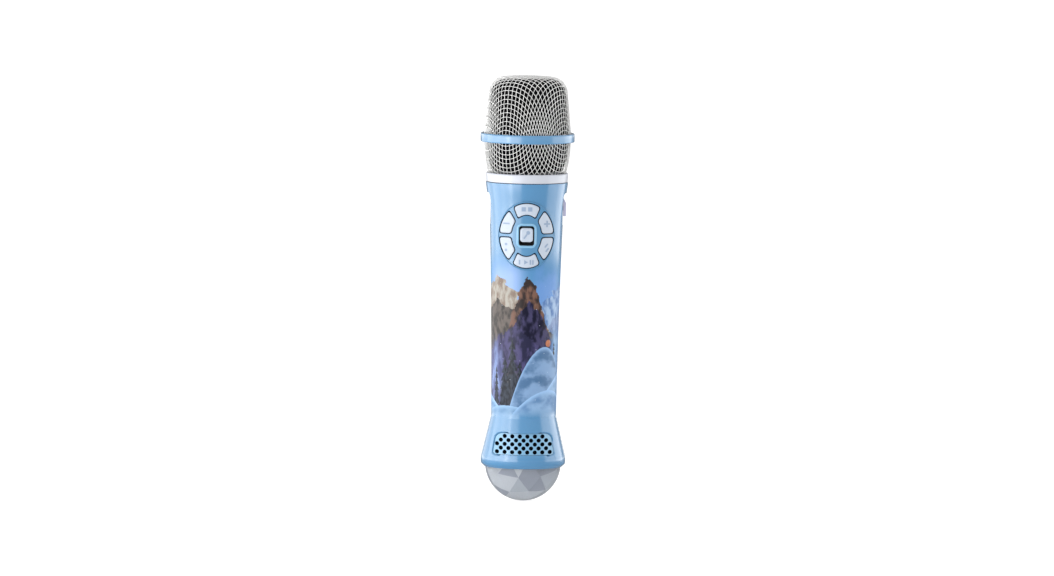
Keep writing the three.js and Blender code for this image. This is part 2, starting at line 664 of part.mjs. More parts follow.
function speakerCone() {
  const { length, height, front, centre } = SPEAKER;
  const rim = prismY(racetrack(length - 7.6, height - 7.6), front, front + 1);
  const bowl = prismY(racetrack(length - 13, height - 10), front + 0.9, front + 3);
  const cap = prismY(racetrack(length - 15, height - 12), front - 1, front + 1.6);
  return cut(join(rim, bowl), cap).translate(0, 0, centre);
}

function speakerMagnet() {
  const back = SPEAKER.front + SPEAKER.depth;
  return rodY(8, 0, SPEAKER.centre, back + GAP, back + 5.3, SMALL_ROUND);
}

function lightBoard() {
  const disc = rodZ(21.5, 0, 0, DOME.flangeHigh + GAP, 28.1, 32);
  return cut(disc, rodZ(2, 0, 15, 20, 30, 12));
}

/** Round-nosed lamp hanging from the light board. */
function lamp(angle) {
  const [reach, foot] = [9, DOME.flangeHigh];
  const path = startAt(0, foot - 8.6).absarc(0, foot - 6.1, 2.5, -PI / 2, 0, false);
  path.lineTo(2.5, foot - 1).lineTo(2.9, foot - 1).lineTo(2.9, foot).lineTo(0, foot);
  return revolve(path, 12, 2).translate(reach * Math.cos(angle), reach * Math.sin(angle), 0);
}

/** Clear dome: smooth outside, flat facets inside, and a flange that the two shells trap. */
function lightDome() {
  const { radius, facetRadius, flangeRadius, flangeLow, flangeHigh } = DOME;
  const path = startAt(0, 0).absarc(0, radius, radius, -PI / 2, 0, false);
  path.lineTo(radius, flangeLow).lineTo(flangeRadius, flangeLow).lineTo(flangeRadius, flangeHigh);
  const blank = revolve(path.lineTo(0, flangeHigh), ROUND, 6);
  const facets = new THREE.IcosahedronGeometry(facetRadius, 1).rotateX(0.35).translate(0, 0, radius);
  return cut(blank, facets, rodZ(21.6, 0, 0, 22, 30, 32));
}

/** A lead along a smooth curve through its points. */
function lead(points) {
  const curve = new THREE.CatmullRomCurve3(points.map((point) => new THREE.Vector3(...point)));
  const section = new THREE.Shape().absarc(0, 0, LEAD_RADIUS, 0, 2 * PI, false);
  return new THREE.ExtrudeGeometry(section, { steps: 10, curveSegments: 4, extrudePath: curve });
}

// ---------------------------------------------------------------- finishes and assembly

function finish(color, roughness, metalness = 0) {
  return new THREE.MeshStandardMaterial({ color, roughness, metalness });
}

const blue = finish(0x8fc3ec, 0.32);
const ringBlue = finish(0x7fb7ea, 0.3);
const white = finish(0xf1f1f6, 0.35);
const keyWhite = finish(0xeeeef8, 0.3);
const steel = finish(0xc9c9c4, 0.3, 1);
const darkFoam = finish(0x0c0c0e, 0.95);
const black = finish(0x0f1114, 0.45);
const rubber = finish(0x1c1c1e, 0.8);
const boardGreen = finish(0x1e5b3a, 0.5);
const screwZinc = finish(0xb8b4a8, 0.35, 1);
const cellWrap = finish(0x2f6fb5, 0.4);
const conePaper = finish(0x191a1c, 0.85);
const boardWhite = finish(0xf4f4f0, 0.4);
const leadRed = finish(0xb3262a, 0.5);
const leadBlack = finish(0x161618, 0.5);
const clear = finish(0xdfe6ee, 0.08);
clear.transparent = true;
clear.opacity = 0.4;

const microphone = new THREE.Group();

function place(name, geometry, material) {
  const mesh = new THREE.Mesh(geometry, material);
  mesh.name = name;
  microphone.add(mesh);
}

place("upper_basket", upperBasket(), steel);
place("lower_basket", lowerBasket(), steel);
place("head_ring", headRing(), ringBlue);
place("foam_windscreen", foamWindscreen(), darkFoam);
place("head_base", headBase(), black);
place("capsule_mount", capsuleMount(), rubber);
place("mic_capsule", micCapsule(), steel);
place("collar_ring", collarRing(), white);

place("front_shell", frontShell(), blue);
place("rear_shell", rearShell(), blue);
place("speaker_grille", speakerGrille(), blue);
for (const at of CASE_SCREWS) {
  const { seat, shank, head, length } = CASE_SCREW;
  place(at.name, screw(at, seat + GAP, shank, head, length), screwZinc);
}

for (const span of KEY_SPANS) {
  place("key_" + span.name, keyCap(span), keyWhite);
  place("plunger_" + span.name, plunger(span), black);
  place("key_switch_" + span.name, keySwitch(span), black);
}
place("voice_knob", voiceKnob(), keyWhite);
place("voice_tray", voiceTray(), black);
place("voice_switch", voiceSwitch(), steel);
place("power_knob", powerKnob(), keyWhite);
place("power_switch", powerSwitch(), steel);
place("power_board", powerBoard(), boardGreen);
place("charge_socket", chargeSocket(), steel);
place("charge_board", chargeBoard(), boardGreen);

place("main_board", mainBoard(), boardGreen);
place("audio_chip", audioChip(), black);
for (const at of BOARD_SCREWS) {
  const { shank, head, length } = BOARD_SCREW;
  place(at.name, screw(at, BOARD.back + GAP, shank, head, length), screwZinc);
}
place("battery_cell", batteryCell(), cellWrap);
place("battery_cradle", batteryCradle(), black);

place("speaker_frame", speakerFrame(), black);
place("speaker_cone", speakerCone(), conePaper);
place("speaker_magnet", speakerMagnet(), steel);
place("light_board", lightBoard(), boardWhite);
place("lamp_red", lamp(PI / 2), clear);
place("lamp_green", lamp((7 / 6) * PI), clear);
place("lamp_blue", lamp((11 / 6) * PI), clear);
place("light_dome", lightDome(), clear);

const capsuleRoute = [[0, 0, 234.6], [0, 0, 214], [1, -2, 204], [2, -5.5, 199.5], [2, -8.7, 195.2]];
const batteryRoute = [[0, 3.2, 142], [0, 3, 147], [0, -1, 151], [0, -6.6, 152]];
const speakerRoute = [[12, -3.4, 38], [14, -1, 46], [15.5, -3, 63], [8, -8.7, 82.4]];
const lightRoute = [[-12, 6, 29.2], [-13, 7, 42], [-15.5, -2, 63], [-8, -8.7, 82.4]];
place("capsule_lead", lead(capsuleRoute), leadBlack);
place("battery_lead", lead(batteryRoute), leadRed);
place("speaker_lead", lead(speakerRoute), leadRed);
place("light_lead", lead(lightRoute), leadBlack);

export default microphone;
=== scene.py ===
"""Looks of a toy karaoke microphone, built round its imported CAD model.

Metres in Blender, and for the camera, the lights and the floor. The part's shapes are worked out in
millimetres, as the CAD model is, and every mesh is scaled by MM as it is made. +Z runs up the handle to the
head, the keys face -Y, and +X is the side of the power slide.
"""

import functools
import json
import math

import bmesh
import bpy
import numpy as np
from mathutils import Matrix, Quaternion, Vector


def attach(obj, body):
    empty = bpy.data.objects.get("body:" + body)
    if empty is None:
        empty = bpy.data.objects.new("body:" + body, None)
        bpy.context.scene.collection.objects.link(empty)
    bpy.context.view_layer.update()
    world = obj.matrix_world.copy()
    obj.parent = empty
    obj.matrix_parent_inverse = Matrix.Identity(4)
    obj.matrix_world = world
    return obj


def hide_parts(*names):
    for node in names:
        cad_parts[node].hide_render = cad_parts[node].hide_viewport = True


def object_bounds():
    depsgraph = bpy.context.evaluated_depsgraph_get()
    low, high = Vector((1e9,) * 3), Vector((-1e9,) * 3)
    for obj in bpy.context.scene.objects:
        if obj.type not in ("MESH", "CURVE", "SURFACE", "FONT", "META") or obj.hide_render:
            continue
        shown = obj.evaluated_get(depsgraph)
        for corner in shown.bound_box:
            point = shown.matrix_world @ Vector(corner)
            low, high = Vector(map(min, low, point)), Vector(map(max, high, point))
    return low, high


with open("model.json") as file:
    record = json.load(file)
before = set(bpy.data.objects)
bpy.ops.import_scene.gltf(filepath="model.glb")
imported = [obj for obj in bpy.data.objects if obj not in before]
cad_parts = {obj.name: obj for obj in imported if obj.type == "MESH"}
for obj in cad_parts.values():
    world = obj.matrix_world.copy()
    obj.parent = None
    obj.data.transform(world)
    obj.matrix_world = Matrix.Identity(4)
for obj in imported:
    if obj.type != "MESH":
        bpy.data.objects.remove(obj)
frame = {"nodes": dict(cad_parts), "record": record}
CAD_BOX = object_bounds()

MM = 0.001
ROUND = 192  # sides of a turned piece
PRINT_GAUGE = 22  # mm of print to a radian round the handle

DOME = {"radius": 24.35, "flange": 25.1, "low": 24.7, "high": 26.1, "facets": 22.5}
# the handle's outline from the bottom up, as (radius, height)
LIP = (25, 22.3)
BEVEL = (26.9, 24.1)
FOOT = (27.3, 28.4)
WAIST = (20.95, 55.4)
GRIP = (23.4, 176.5)
CASE_TOP = (26.5, 206)
WALL = 2

KEY_CENTRE = 172.8
KEY_CORNER = 1.7
KEY_RISE = 1.1  # of the keys' tops over the handle
KEY_CLEARANCE = 0.6  # between a key and the edge of its opening
PAD = {"across": 18.5, "up": 22.3, "rise": 0.6}
OUTER = (17.15, 20.7)  # half axes of the ring of keys
INNER = (9.95, 13.6)
SIDE_SLANT, END_SLANT = math.radians(31.5), math.radians(22.4)
SIDE_INSET, END_INSET = 1.4, -0.75  # from a key's end to the line through the keys' centre
KEY_SPANS = {
    "top": (-END_SLANT, END_SLANT, END_INSET),
    "upper_right": (SIDE_SLANT, math.pi / 2, SIDE_INSET),
    "lower_right": (math.pi / 2, math.pi - SIDE_SLANT, SIDE_INSET),
    "bottom": (math.pi - END_SLANT, math.pi + END_SLANT, END_INSET),
    "lower_left": (math.pi + SIDE_SLANT, 1.5 * math.pi, SIDE_INSET),
    "upper_left": (1.5 * math.pi, 2 * math.pi - SIDE_SLANT, SIDE_INSET),
}
SLOT = {"centre": KEY_CENTRE - 0.1, "width": 9.8, "height": 12.6}
BEZEL = {"width": 13.1, "rise": 0.9}
KNOB = {"centre": KEY_CENTRE + 0.5, "width": 8.2, "height": 9, "front": 25.3, "depth": 5.6}
SIGN_SUNK, SIGN_RISE = 0.05, 0.03  # of a sign, into and over its key

SIDE = {"floor": 23.2, "low": 178, "high": 198.9, "half_depth": 9, "corner": 3}
# heights where the wall stands back to clear the side recesses' floors
BEHIND_SIDE = (SIDE["low"] - 1, SIDE["high"] + 1.5)
SCREWS = {"low_left": (-9, 64), "low_right": (9, 64), "high_left": (-9, 198.6), "high_right": (9, 198.6)}
SCREW_WELL = {"bore": 2.8, "seat": 4.2, "outside": 3.7, "hole": 1.4, "end": 2.5}
GRILLE = {"low": 31.4, "high": 45.0, "low_half": 19.7, "high_half": 18.0, "sunk": 0.8}
HOLES = {"radius": 1.36, "pitch": 4.85, "row_pitch": 2.5, "lowest": 33.2, "rows": (8, 7, 8, 7, 6)}

RING = {"radius": 30.3, "bore": 28.7, "low": 231.9, "high": 237.6}
COLLAR = {"radius": 26.5, "low": 206.3, "high": 212.1}
WIRE = 0.36  # diameter of the head's wire
PITCH = 2.85  # between wires before the mesh is drawn
WEAVE_TURN = math.radians(-31)  # azimuth that one set of wires runs down
BASKETS = {"upper": (235, 280), "lower": (211, 233.5)}  # heights between which each basket's wires show
AHEAD = -40  # y well in front of the part, where cutters start
SEAM = 0.12 / 22  # half the parting line, as an angle
TONGUE = 0.11 / 22  # half the tongue in it, as an angle
SHARES = (0.85, 0.7, 0.55, 0.4, 0.25, 0.1)  # of an outline's size, on the rings that carry it in

# ---------------------------------------------------------------- outlines and meshes


def bezier(points, count):
    """Points on a Bezier curve of any degree, both ends included."""
    t = np.linspace(0, 1, count)[:, None]
    rows = [np.broadcast_to(np.array(p, float), (count, 2)) for p in points]
    while len(rows) > 1:
        rows = [a * (1 - t) + b * t for a, b in zip(rows, rows[1:])]
    return rows[0]


def arc(centre, radius, start, end, count):
    turn = np.linspace(start, end, count)
    return np.c_[centre[0] + radius * np.cos(turn), centre[1] + radius * np.sin(turn)]


def case_outline():
    """The handle's outside from the bottom lip to the top rim, as (radius, height)."""
    return np.vstack([
        bezier([LIP, BEVEL], 4)[:-1],
        bezier([BEVEL, (FOOT[0] - 0.1, BEVEL[1] + 0.5), (FOOT[0] - 0.05, BEVEL[1] + 1.2)], 6),
        bezier([(FOOT[0], FOOT[1] - 1.4), FOOT, (FOOT[0] - 0.25, FOOT[1] + 1.2)], 8),
        bezier([(FOOT[0] - 0.25, FOOT[1] + 1.2), WAIST], 20)[1:],
        bezier([WAIST, (21.45, 118), GRIP], 40)[1:],
        bezier([GRIP, (23.7, 190), (25.9, 199), (CASE_TOP[0], CASE_TOP[1] - 0.15)], 24)[1:],
        [(CASE_TOP[0] - 0.15, CASE_TOP[1])],
    ])


OUTLINE = case_outline()


def case_radius(height):
    return np.interp(height, OUTLINE[:, 1], OUTLINE[:, 0])


def on_case(x, z, rise):
    """A point at `rise` above the handle's surface, seen from the front at (x, z)."""
    radius = case_radius(z) + rise
    return x, -math.sqrt(max(radius**2 - x**2, 0)), z


def put(name, data):
    """A new object in the scene for a mesh, a light or a camera."""
    item = bpy.data.objects.new(name, data)
    bpy.context.scene.collection.objects.link(item)
    return item


def new_piece(name, vertices, faces, sharp=35):
    """A piece from millimetres. Edges sharper than `sharp` degrees stay sharp."""
    mesh = bpy.data.meshes.new(name)
    mesh.from_pydata([tuple(c * MM for c in v) for v in vertices], [], faces)
    mesh.validate()
    build = bmesh.new()
    build.from_mesh(mesh)
    bmesh.ops.remove_doubles(build, verts=build.verts, dist=1e-7)
    bmesh.ops.recalc_face_normals(build, faces=build.faces)
    build.to_mesh(mesh)
    build.free()
    smooth(mesh, sharp)
    return put(name, mesh)


def smooth(mesh, sharp):
    mesh.polygons.foreach_set("use_smooth", [True] * len(mesh.polygons))
    mesh.set_sharp_from_angle(angle=math.radians(sharp))


def between_rings(near, far, count):
    """Faces between two rings of `count` points, whose first points are numbers `near` and `far`."""
    return [(near + j, near + (j + 1) % count, far + (j + 1) % count, far + j) for j in range(count)]


def revolved(outline, start=0.0, end=2 * math.pi, sides=ROUND):
    """A closed outline of (radius, height) turned about Z, all the way or between two azimuths.

    The outline may be a function of azimuth that keeps its count of points.
    """
    section = outline if callable(outline) else lambda azimuth: outline
    whole = end - start > 2 * math.pi - 1e-9
    steps = sides if whole else max(2, round(sides * (end - start) / (2 * math.pi)))
    angles = np.linspace(start, end, steps + 1)[: steps if whole else None]
    count = len(section(start))
    vertices = [(r * math.sin(a), -r * math.cos(a), z) for a in angles for r, z in section(a)]
    faces = []
    for i in range(steps):
        faces += between_rings(i * count, (i + 1) % len(angles) * count, count)
    if not whole:
        faces += [tuple(range(count)), tuple(reversed(range(steps * count, (steps + 1) * count)))]
    return vertices, faces


def layers(rings, place, closed=False):
    """A solid through rings of one point count, each (outline, level), laid on `place(x, z, level)`."""
    vertices = [place(x, z, level) for outline, level in rings for x, z in outline]
    count = len(rings[0][0])
    faces = []
    for i in range(len(rings) - (0 if closed else 1)):
        faces += between_rings(i * count, (i + 1) % len(rings) * count, count)
    if not closed:
        for outline, level, first in ((*rings[0], 0), (*rings[-1], (len(rings) - 1) * count)):
            middle = len(vertices)
            vertices.append(place(*np.mean(outline, axis=0), level))
            faces += [(first + j, first + (j + 1) % count, middle) for j in range(count)]
    return vertices, faces


def shrunk(outline, level, shares=SHARES):
    """Rings that carry an outline in towards its middle at one level."""
    middle = np.mean(outline, axis=0)
    return [(middle + (outline - middle) * share, level) for share in shares]


def capped(outline_at, steps, top_shares=SHARES):
    """Rings of a solid whose steps are (growth, level), with both ends carried in to the middle."""
    (first, low), (last, high) = steps[0], steps[-1]
    rings = [(outline_at(grow), level) for grow, level in steps]
    return shrunk(outline_at(first), low)[::-1] + rings + shrunk(outline_at(last), high, top_shares)


def prism(outline, axis, start, end):
    """A throwaway cutter: an outline of (x, z) or (y, z) run along Y or X."""
    place = (lambda a, b, t: (a, t, b)) if axis == "Y" else (lambda a, b, t: (t, a, b))
    count = len(outline)
    vertices = [place(a, b, t) for t in (start, end) for a, b in outline]
    ends = [tuple(range(count)), tuple(reversed(range(count, 2 * count)))]
    return vertices, ends + between_rings(0, count, count)


def combine(piece, cutters, operation="DIFFERENCE", sharp=35):
    """Cuts a piece with, or keeps it inside, a list of (vertices, faces) that don't touch each other."""
    vertices, faces = [], []
    for more, sides in cutters:
        faces += [tuple(len(vertices) + i for i in side) for side in sides]
        vertices += more
    tool = new_piece("cutter", vertices, faces)
    step = piece.modifiers.new("cut", "BOOLEAN")
    step.operation, step.solver, step.object = operation, "EXACT", tool
    result = bpy.data.meshes.new_from_object(piece.evaluated_get(bpy.context.evaluated_depsgraph_get()))
    piece.modifiers.clear()
    result.name = piece.name
    piece.data = result
    smooth(result, sharp)
    bpy.data.objects.remove(tool)
    return piece


def rounded_box(across, up, width, height, corner, count=8):
    """A rectangle round (across, up) with round corners, as points."""
    x, z = width / 2 - corner, height / 2 - corner
    quarters = ((x, z, 0), (-x, z, 1), (-x, -z, 2), (x, -z, 3))
    return np.vstack([
        arc((across + cx, up + cz), corner, q * math.pi / 2, (q + 1) * math.pi / 2, count)
        for cx, cz, q in quarters
    ])


def disc(x, z, radius, count=24):
    return arc((x, z), radius, 0, 2 * math.pi, count + 1)[:-1]


def finish_piece(piece, body, look, slot, *stands_for):
    """Gives a piece its look from MATERIALS, its body and the CAD nodes that it replaces. The slot is not
    used.
    """
    piece.data.materials.clear()
    piece.data.materials.append(MATERIALS[look])
    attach(piece, body)
    if stands_for:
        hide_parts(*stands_for)


# ---------------------------------------------------------------- keys' outlines


def ray_meets(angle, beside, half):
    """Where a line beside the ray at `angle`, clockwise from up, meets an ellipse with those half axes."""
    along = np.array([math.sin(angle), math.cos(angle)])
    across = np.array([math.cos(angle), -math.sin(angle)])
    weigh = lambda p, q: p[0] * q[0] / half[0] ** 2 + p[1] * q[1] / half[1] ** 2
    a, b, c = weigh(along, along), 2 * beside * weigh(along, across), beside**2 * weigh(across, across) - 1
    return across * beside + along * (-b + math.sqrt(b * b - 4 * a * c)) / (2 * a)


def key_outline(span, grow):
    """A rounded piece of the ring between two ellipses, grown by `grow`, round the keys' centre."""
    first, last, inset = span
    outer, inner = np.array(OUTER) + grow, np.array(INNER) - grow
    beside, corner = inset - grow, KEY_CORNER + grow / 2
    outer_from, outer_to = ray_meets(first, beside, outer), ray_meets(last, -beside, outer)
    inner_from, inner_to = ray_meets(first, beside, inner), ray_meets(last, -beside, inner)

    def on(half, point, trim):
        turn = math.atan2(point[1] / half[1], point[0] / half[0]) + trim / np.linalg.norm(point)
        return turn, half * (math.cos(turn), math.sin(turn))

    def towards(start, end):
        return start + (end - start) * corner / np.linalg.norm(end - start)

    def sweep(half, start, end, direction):
        turn = (end - start) * direction % (2 * math.pi)
        steps = start + direction * np.linspace(0, turn, 22)
        return np.c_[half[0] * np.cos(steps), half[1] * np.sin(steps)]

    (a, at_a), (b, at_b) = on(outer, outer_from, -corner), on(outer, outer_to, corner)
    (c, at_c), (d, at_d) = on(inner, inner_to, corner), on(inner, inner_from, -corner)
    points = [
        bezier([towards(outer_from, inner_from), outer_from, at_a], 7),
        sweep(outer, a, b, -1)[1:-1],
        bezier([at_b, outer_to, towards(outer_to, inner_to)], 7),
        bezier([towards(inner_to, outer_to), inner_to, at_c], 7),
        sweep(inner, c, d, 1)[1:-1],
        bezier([at_d, inner_from, towards(inner_from, outer_from)], 7),
    ]
    return np.vstack(points) + (0, KEY_CENTRE)


# ---------------------------------------------------------------- woven head


def upper_profile():
    """The upper basket's middle surface from its crown to its rim, as (radius, height)."""
    corner, centre, lean, crown_start = 10.6, (15, 263.4), math.radians(5.5), math.radians(86.5)
    crown = corner + centre[0] / math.cos(crown_start)
    crown_centre = (0, centre[1] - centre[0] * math.tan(crown_start))
    top = arc(crown_centre, crown - WIRE, math.pi / 2, crown_start, 30)
    bend = arc(centre, corner - WIRE, crown_start, lean, 40)[1:]
    rim = BASKETS["upper"][0]
    side = bend[-1] - np.linspace(0, bend[-1][1] - rim, 40)[1:, None] * (-math.tan(lean), 1)
    return np.vstack([top, bend, side])


def lower_profile():
    """The lower basket's middle surface from the middle of its hidden floor to its rim."""
    floor = np.linspace((0, 207.5), (20, 207.5), 20)
    bend = arc((20, 211.5), 4, -math.pi / 2, math.radians(-8), 14)[1:]
    wall = bezier([bend[-1], (26.0, 213.7), (27.4, 222), (27.8, BASKETS["lower"][1])], 50)[1:]
    return np.vstack([floor, bend, wall])


def distances(profile):
    """How far down the profile each of its points lies."""
    return np.r_[0, np.cumsum(np.linalg.norm(np.diff(profile, axis=0), axis=1))]


def drape(profile, along, across):
    """Where points of a flat square-woven disc lie once it is drawn into a cup.

    along and across are distances from the middle, down the two sets of wires. The result is (distance
    down the profile, azimuth) for each. On the wires' own directions the mesh keeps its squares, and
    between them it shears into narrow slits. Newton's method, damped, finds both at once.
    """
    rounds, damping, nudge, farthest, tiny = 60, 0.7, 0.05, 140, 1e-6
    reach = distances(profile)
    radius_at = lambda s: np.where(s > reach[-1], profile[-1, 0], np.interp(s, reach, profile[:, 0]))
    x, y = np.maximum(np.abs(along), tiny), np.maximum(np.abs(across), tiny)
    s, turn = np.hypot(x, y), np.arctan2(y, x)
    for _ in range(rounds):
        r = radius_at(s)
        slope = (radius_at(s + nudge) - radius_at(np.maximum(s - nudge, 0))) / (2 * nudge)
        cos, sin = np.cos(turn), np.sin(turn)
        miss_x, miss_y = r * cos + (s - r) * cos**2 - x, r * sin + (s - r) * sin**2 - y
        xs, xt = slope * cos + (1 - slope) * cos**2, -r * sin - 2 * (s - r) * sin * cos
        ys, yt = slope * sin + (1 - slope) * sin**2, r * cos + 2 * (s - r) * sin * cos
        scale = xs * yt - xt * ys
        scale = np.where(np.abs(scale) < tiny, tiny, scale)
        step_s, step_t = (yt * miss_x - xt * miss_y) / scale, (xs * miss_y - ys * miss_x) / scale
        s = np.clip(s - damping * np.clip(step_s, -3, 3), 0, farthest)
        turn = np.clip(turn - damping * np.clip(step_t, -0.2, 0.2), 0, math.pi / 2)
    turn = np.where(np.asarray(along) < 0, math.pi - turn, turn)
    return s, np.where(np.asarray(across) < 0, -turn, turn)


def wire_paths(profile, family, low, high):
    """Every wire of one family as (points, outward directions), cut to the visible heights."""
    reach = distances(profile)
    slopes = np.gradient(profile, reach, axis=0)
    most, substeps = int(reach[-1] / PITCH) + 1, 6
    run = np.arange(-most * substeps, most * substeps + 1) * PITCH / substeps
    for index in range(-most, most + 1):
        offset = np.full_like(run, index * PITCH)
        s, turn = drape(profile, *((run, offset) if family == 0 else (offset, run)))
        inside = s < reach[-1]
        side = -1 if family else 1
        lift = side * WIRE / 2 * np.cos(math.pi * run / PITCH) * (-1) ** index
        radius, height = np.interp(s, reach, profile[:, 0]), np.interp(s, reach, profile[:, 1])
        out_r, out_z = -np.interp(s, reach, slopes[:, 1]), np.interp(s, reach, slopes[:, 0])
        azimuth = turn + WEAVE_TURN
        heading = np.c_[np.sin(azimuth), -np.cos(azimuth)]
        outward = np.c_[heading * out_r[:, None], out_z]
        if profile[0, 1] < profile[-1, 1]:
            outward = -outward
        points = np.c_[heading * radius[:, None], height] + outward * lift[:, None]
        shown = inside & (points[:, 2] > low) & (points[:, 2] < high)
        edges = np.flatnonzero(np.diff(np.r_[0, shown.astype(int), 0]))
        for start, stop in zip(edges[::2], edges[1::2]):
            if stop - start > 2:
                yield points[start:stop], outward[start:stop]


def wire_mesh(name, paths, sides=7):
    """All the wires of one family as closed tubes in one mesh."""
    vertices, faces = [], []
    turns = np.linspace(0, 2 * math.pi, sides, endpoint=False)
    for points, outward in paths:
        ahead = np.gradient(points, axis=0)
        ahead /= np.linalg.norm(ahead, axis=1)[:, None]
        beside = np.cross(ahead, outward)
        beside /= np.linalg.norm(beside, axis=1)[:, None]
        above = np.cross(beside, ahead)
        first = len(vertices)
        cos, sin = np.cos(turns)[None, :, None], np.sin(turns)[None, :, None]
        ring = cos * beside[:, None] + sin * above[:, None]
        vertices += [tuple(v) for v in (points[:, None] + ring * WIRE / 2).reshape(-1, 3)]
        last = first + (len(points) - 1) * sides
        for start in range(first, last, sides):
            faces += between_rings(start, start + sides, sides)
        faces += [tuple(range(first, first + sides)), tuple(reversed(range(last, last + sides)))]
    mesh = bpy.data.meshes.new(name)
    mesh.from_pydata((np.array(vertices) * MM).tolist(), [], faces)
    smooth(mesh, 60)
    return put(name, mesh)


# ---------------------------------------------------------------- node arithmetic


def plug(entry, value):
    """Sets a node's input to a value, to another node's output or to a Field."""
    source = value.source if isinstance(value, Field) else value
    if isinstance(source, bpy.types.NodeSocket):
        entry.id_data.links.new(source, entry)
    else:
        entry.default_value = source


def dial(node, values):
    """Plugs a value into each of a node's inputs, by name."""
    for name, value in values.items():
        plug(node.inputs[name], value)


class Field:
    """A number at each point of a surface. Arithmetic on it adds nodes to its material."""

    def __init__(self, tree, source):
        self.tree, self.source = tree, source

    def math(self, operation, *others):
        node = self.tree.nodes.new("ShaderNodeMath")
        node.operation = operation
        for entry, value in zip(node.inputs, (self, *others)):
            plug(entry, value)
        return Field(self.tree, node.outputs[0])

    def __add__(self, other):
        return self.math("ADD", other)

    def __sub__(self, other):
        return self.math("SUBTRACT", other)

    def __mul__(self, other):
        return self.math("MULTIPLY", other)

    def __rsub__(self, other):
        return (self * -1) + other

    __radd__ = __add__

    def step(self, soft):
        """0 where the number is negative, 1 where it is over `soft`, and smooth between."""
        node = self.tree.nodes.new("ShaderNodeMapRange")
        node.interpolation_type = "SMOOTHSTEP"
        dial(node, {"Value": self, "From Min": 0, "From Max": soft})
        return Field(self.tree, node.outputs["Result"])


def noise(tree, scale, detail=2.0, stretch=(1, 1, 1)):
    """A noise value round 0.5 at the surface's own place. scale is features to a millimetre."""
    texture = tree.nodes.new("ShaderNodeTexNoise")
    mapping = tree.nodes.new("ShaderNodeMapping")
    dial(mapping, {"Scale": stretch, "Vector": own_place(tree)})
    dial(texture, {"Scale": scale / MM, "Detail": detail, "Vector": mapping.outputs[0]})
    return Field(tree, texture.outputs["Fac"])


def from_cells(tree, scale):
    """Distance from the middles of random cells, in cells. scale is cells to a millimetre."""
    texture = tree.nodes.new("ShaderNodeTexVoronoi")
    dial(texture, {"Scale": scale / MM, "Vector": own_place(tree)})
    return Field(tree, texture.outputs["Distance"])


def own_place(tree):
    return tree.nodes.new("ShaderNodeTexCoord").outputs["Object"]


def lay(tree, below, above, mask):
    """One colour laid over another where the mask is 1. A colour is a socket or three numbers."""
    mix = tree.nodes.new("ShaderNodeMix")
    mix.data_type = "RGBA"
    for entry, value in zip((0, 6, 7), (mask, below, above)):
        plug(mix.inputs[entry], (*value, 1) if isinstance(value, tuple) else value)
    return mix.outputs[2]


# ---------------------------------------------------------------- camera, lights, floor

CAMERA_DISTANCE = 8
PANELS = ((-34, 1.3), (-61, 1.6), (-96, 1.2), (-131, 0.5), (80, 0.75), (117, 0.95))  # azimuth and watts
PANEL = {"distance": 0.65, "height": 0.13, "aim": 0.14, "size": (0.42, 0.32)}
LENS_PER_METRE = 53.0  # mm of lens for each metre of distance, which sets the object's size in the frame


def make_camera():
    """The photo's view: nearly from the front, a little from above, with the object tilted a little."""
    azimuth, elevation, roll = math.radians(-0.6), math.radians(4.3), math.radians(0.84)
    back = Vector((math.sin(azimuth) * math.cos(elevation), -math.cos(azimuth) * math.cos(elevation),
                   math.sin(elevation)))
    camera = put("camera", bpy.data.cameras.new("camera"))
    camera.data.lens = LENS_PER_METRE * CAMERA_DISTANCE
    camera.data.sensor_width = 36
    camera.data.clip_end = 100
    aim = Vector((0.001, 0, 0.1374))
    camera.location = aim + back * CAMERA_DISTANCE
    camera.rotation_mode = "QUATERNION"
    camera.rotation_quaternion = (-back).to_track_quat("-Z", "Y") @ Quaternion((0, 0, 1), roll)
    bpy.context.scene.camera = camera


def softbox(name, azimuth, power):
    """A rectangular panel that stands round the part and faces its middle."""
    distance = PANEL["distance"]
    light = put(name, bpy.data.lights.new(name, "AREA"))
    light.data.shape = "RECTANGLE"
    light.data.size, light.data.size_y = PANEL["size"]
    light.data.energy = power
    angle = math.radians(azimuth)
    light.location = (distance * math.sin(angle), -distance * math.cos(angle), PANEL["height"])
    towards = Vector((0, 0, PANEL["aim"])) - light.location
    light.rotation_mode = "QUATERNION"
    light.rotation_quaternion = towards.to_track_quat("-Z", "Y")
    light.visible_camera = False


def make_world():
    """Dim round the sides and bright overhead, so that the panels do the modelling.

    A thin white band at the horizon carries on from the floor's far edge.
    """
    world = bpy.data.worlds.new("studio")
    bpy.context.scene.world = world
    world.use_nodes = True
    tree = world.node_tree
    parts = tree.nodes.new("ShaderNodeSeparateXYZ")
    dial(parts, {"Vector": tree.nodes.new("ShaderNodeTexCoord").outputs["Generated"]})
    height = Field(tree, parts.outputs["Z"])
    overhead = (height - 0.15).step(0.55)
    band = (0.035 - (height + 0.02).math("ABSOLUTE")).step(0.01)
    strength = overhead * 0.9 + band * 0.8 + 0.3
    dial(tree.nodes["Background"], {"Strength": strength, "Color": (1, 1, 1, 1)})


def make_floor():
    """A pale floor just under the part. It glows a little, and gloss doesn't see it."""
    reach = 40
    mesh = bpy.data.meshes.new("floor")
    below = CAD_BOX[0].z - 0.0005
    corners = [(-reach, -reach, below), (reach, -reach, below), (reach, reach, below), (-reach, reach, below)]
    mesh.from_pydata(corners, [], [(0, 1, 2, 3)])
    floor = put("floor", mesh)
    shader = blank_material("floor")[1]
    dial(shader, {"Base Color": (0.3, 0.3, 0.3, 1), "Roughness": 0.9,
                  "Emission Color": (1, 1, 1, 1), "Emission Strength": 0.85})
    mesh.materials.append(MATERIALS["floor"])
    floor.visible_glossy = False


# ---------------------------------------------------------------- materials


MATERIALS = {}


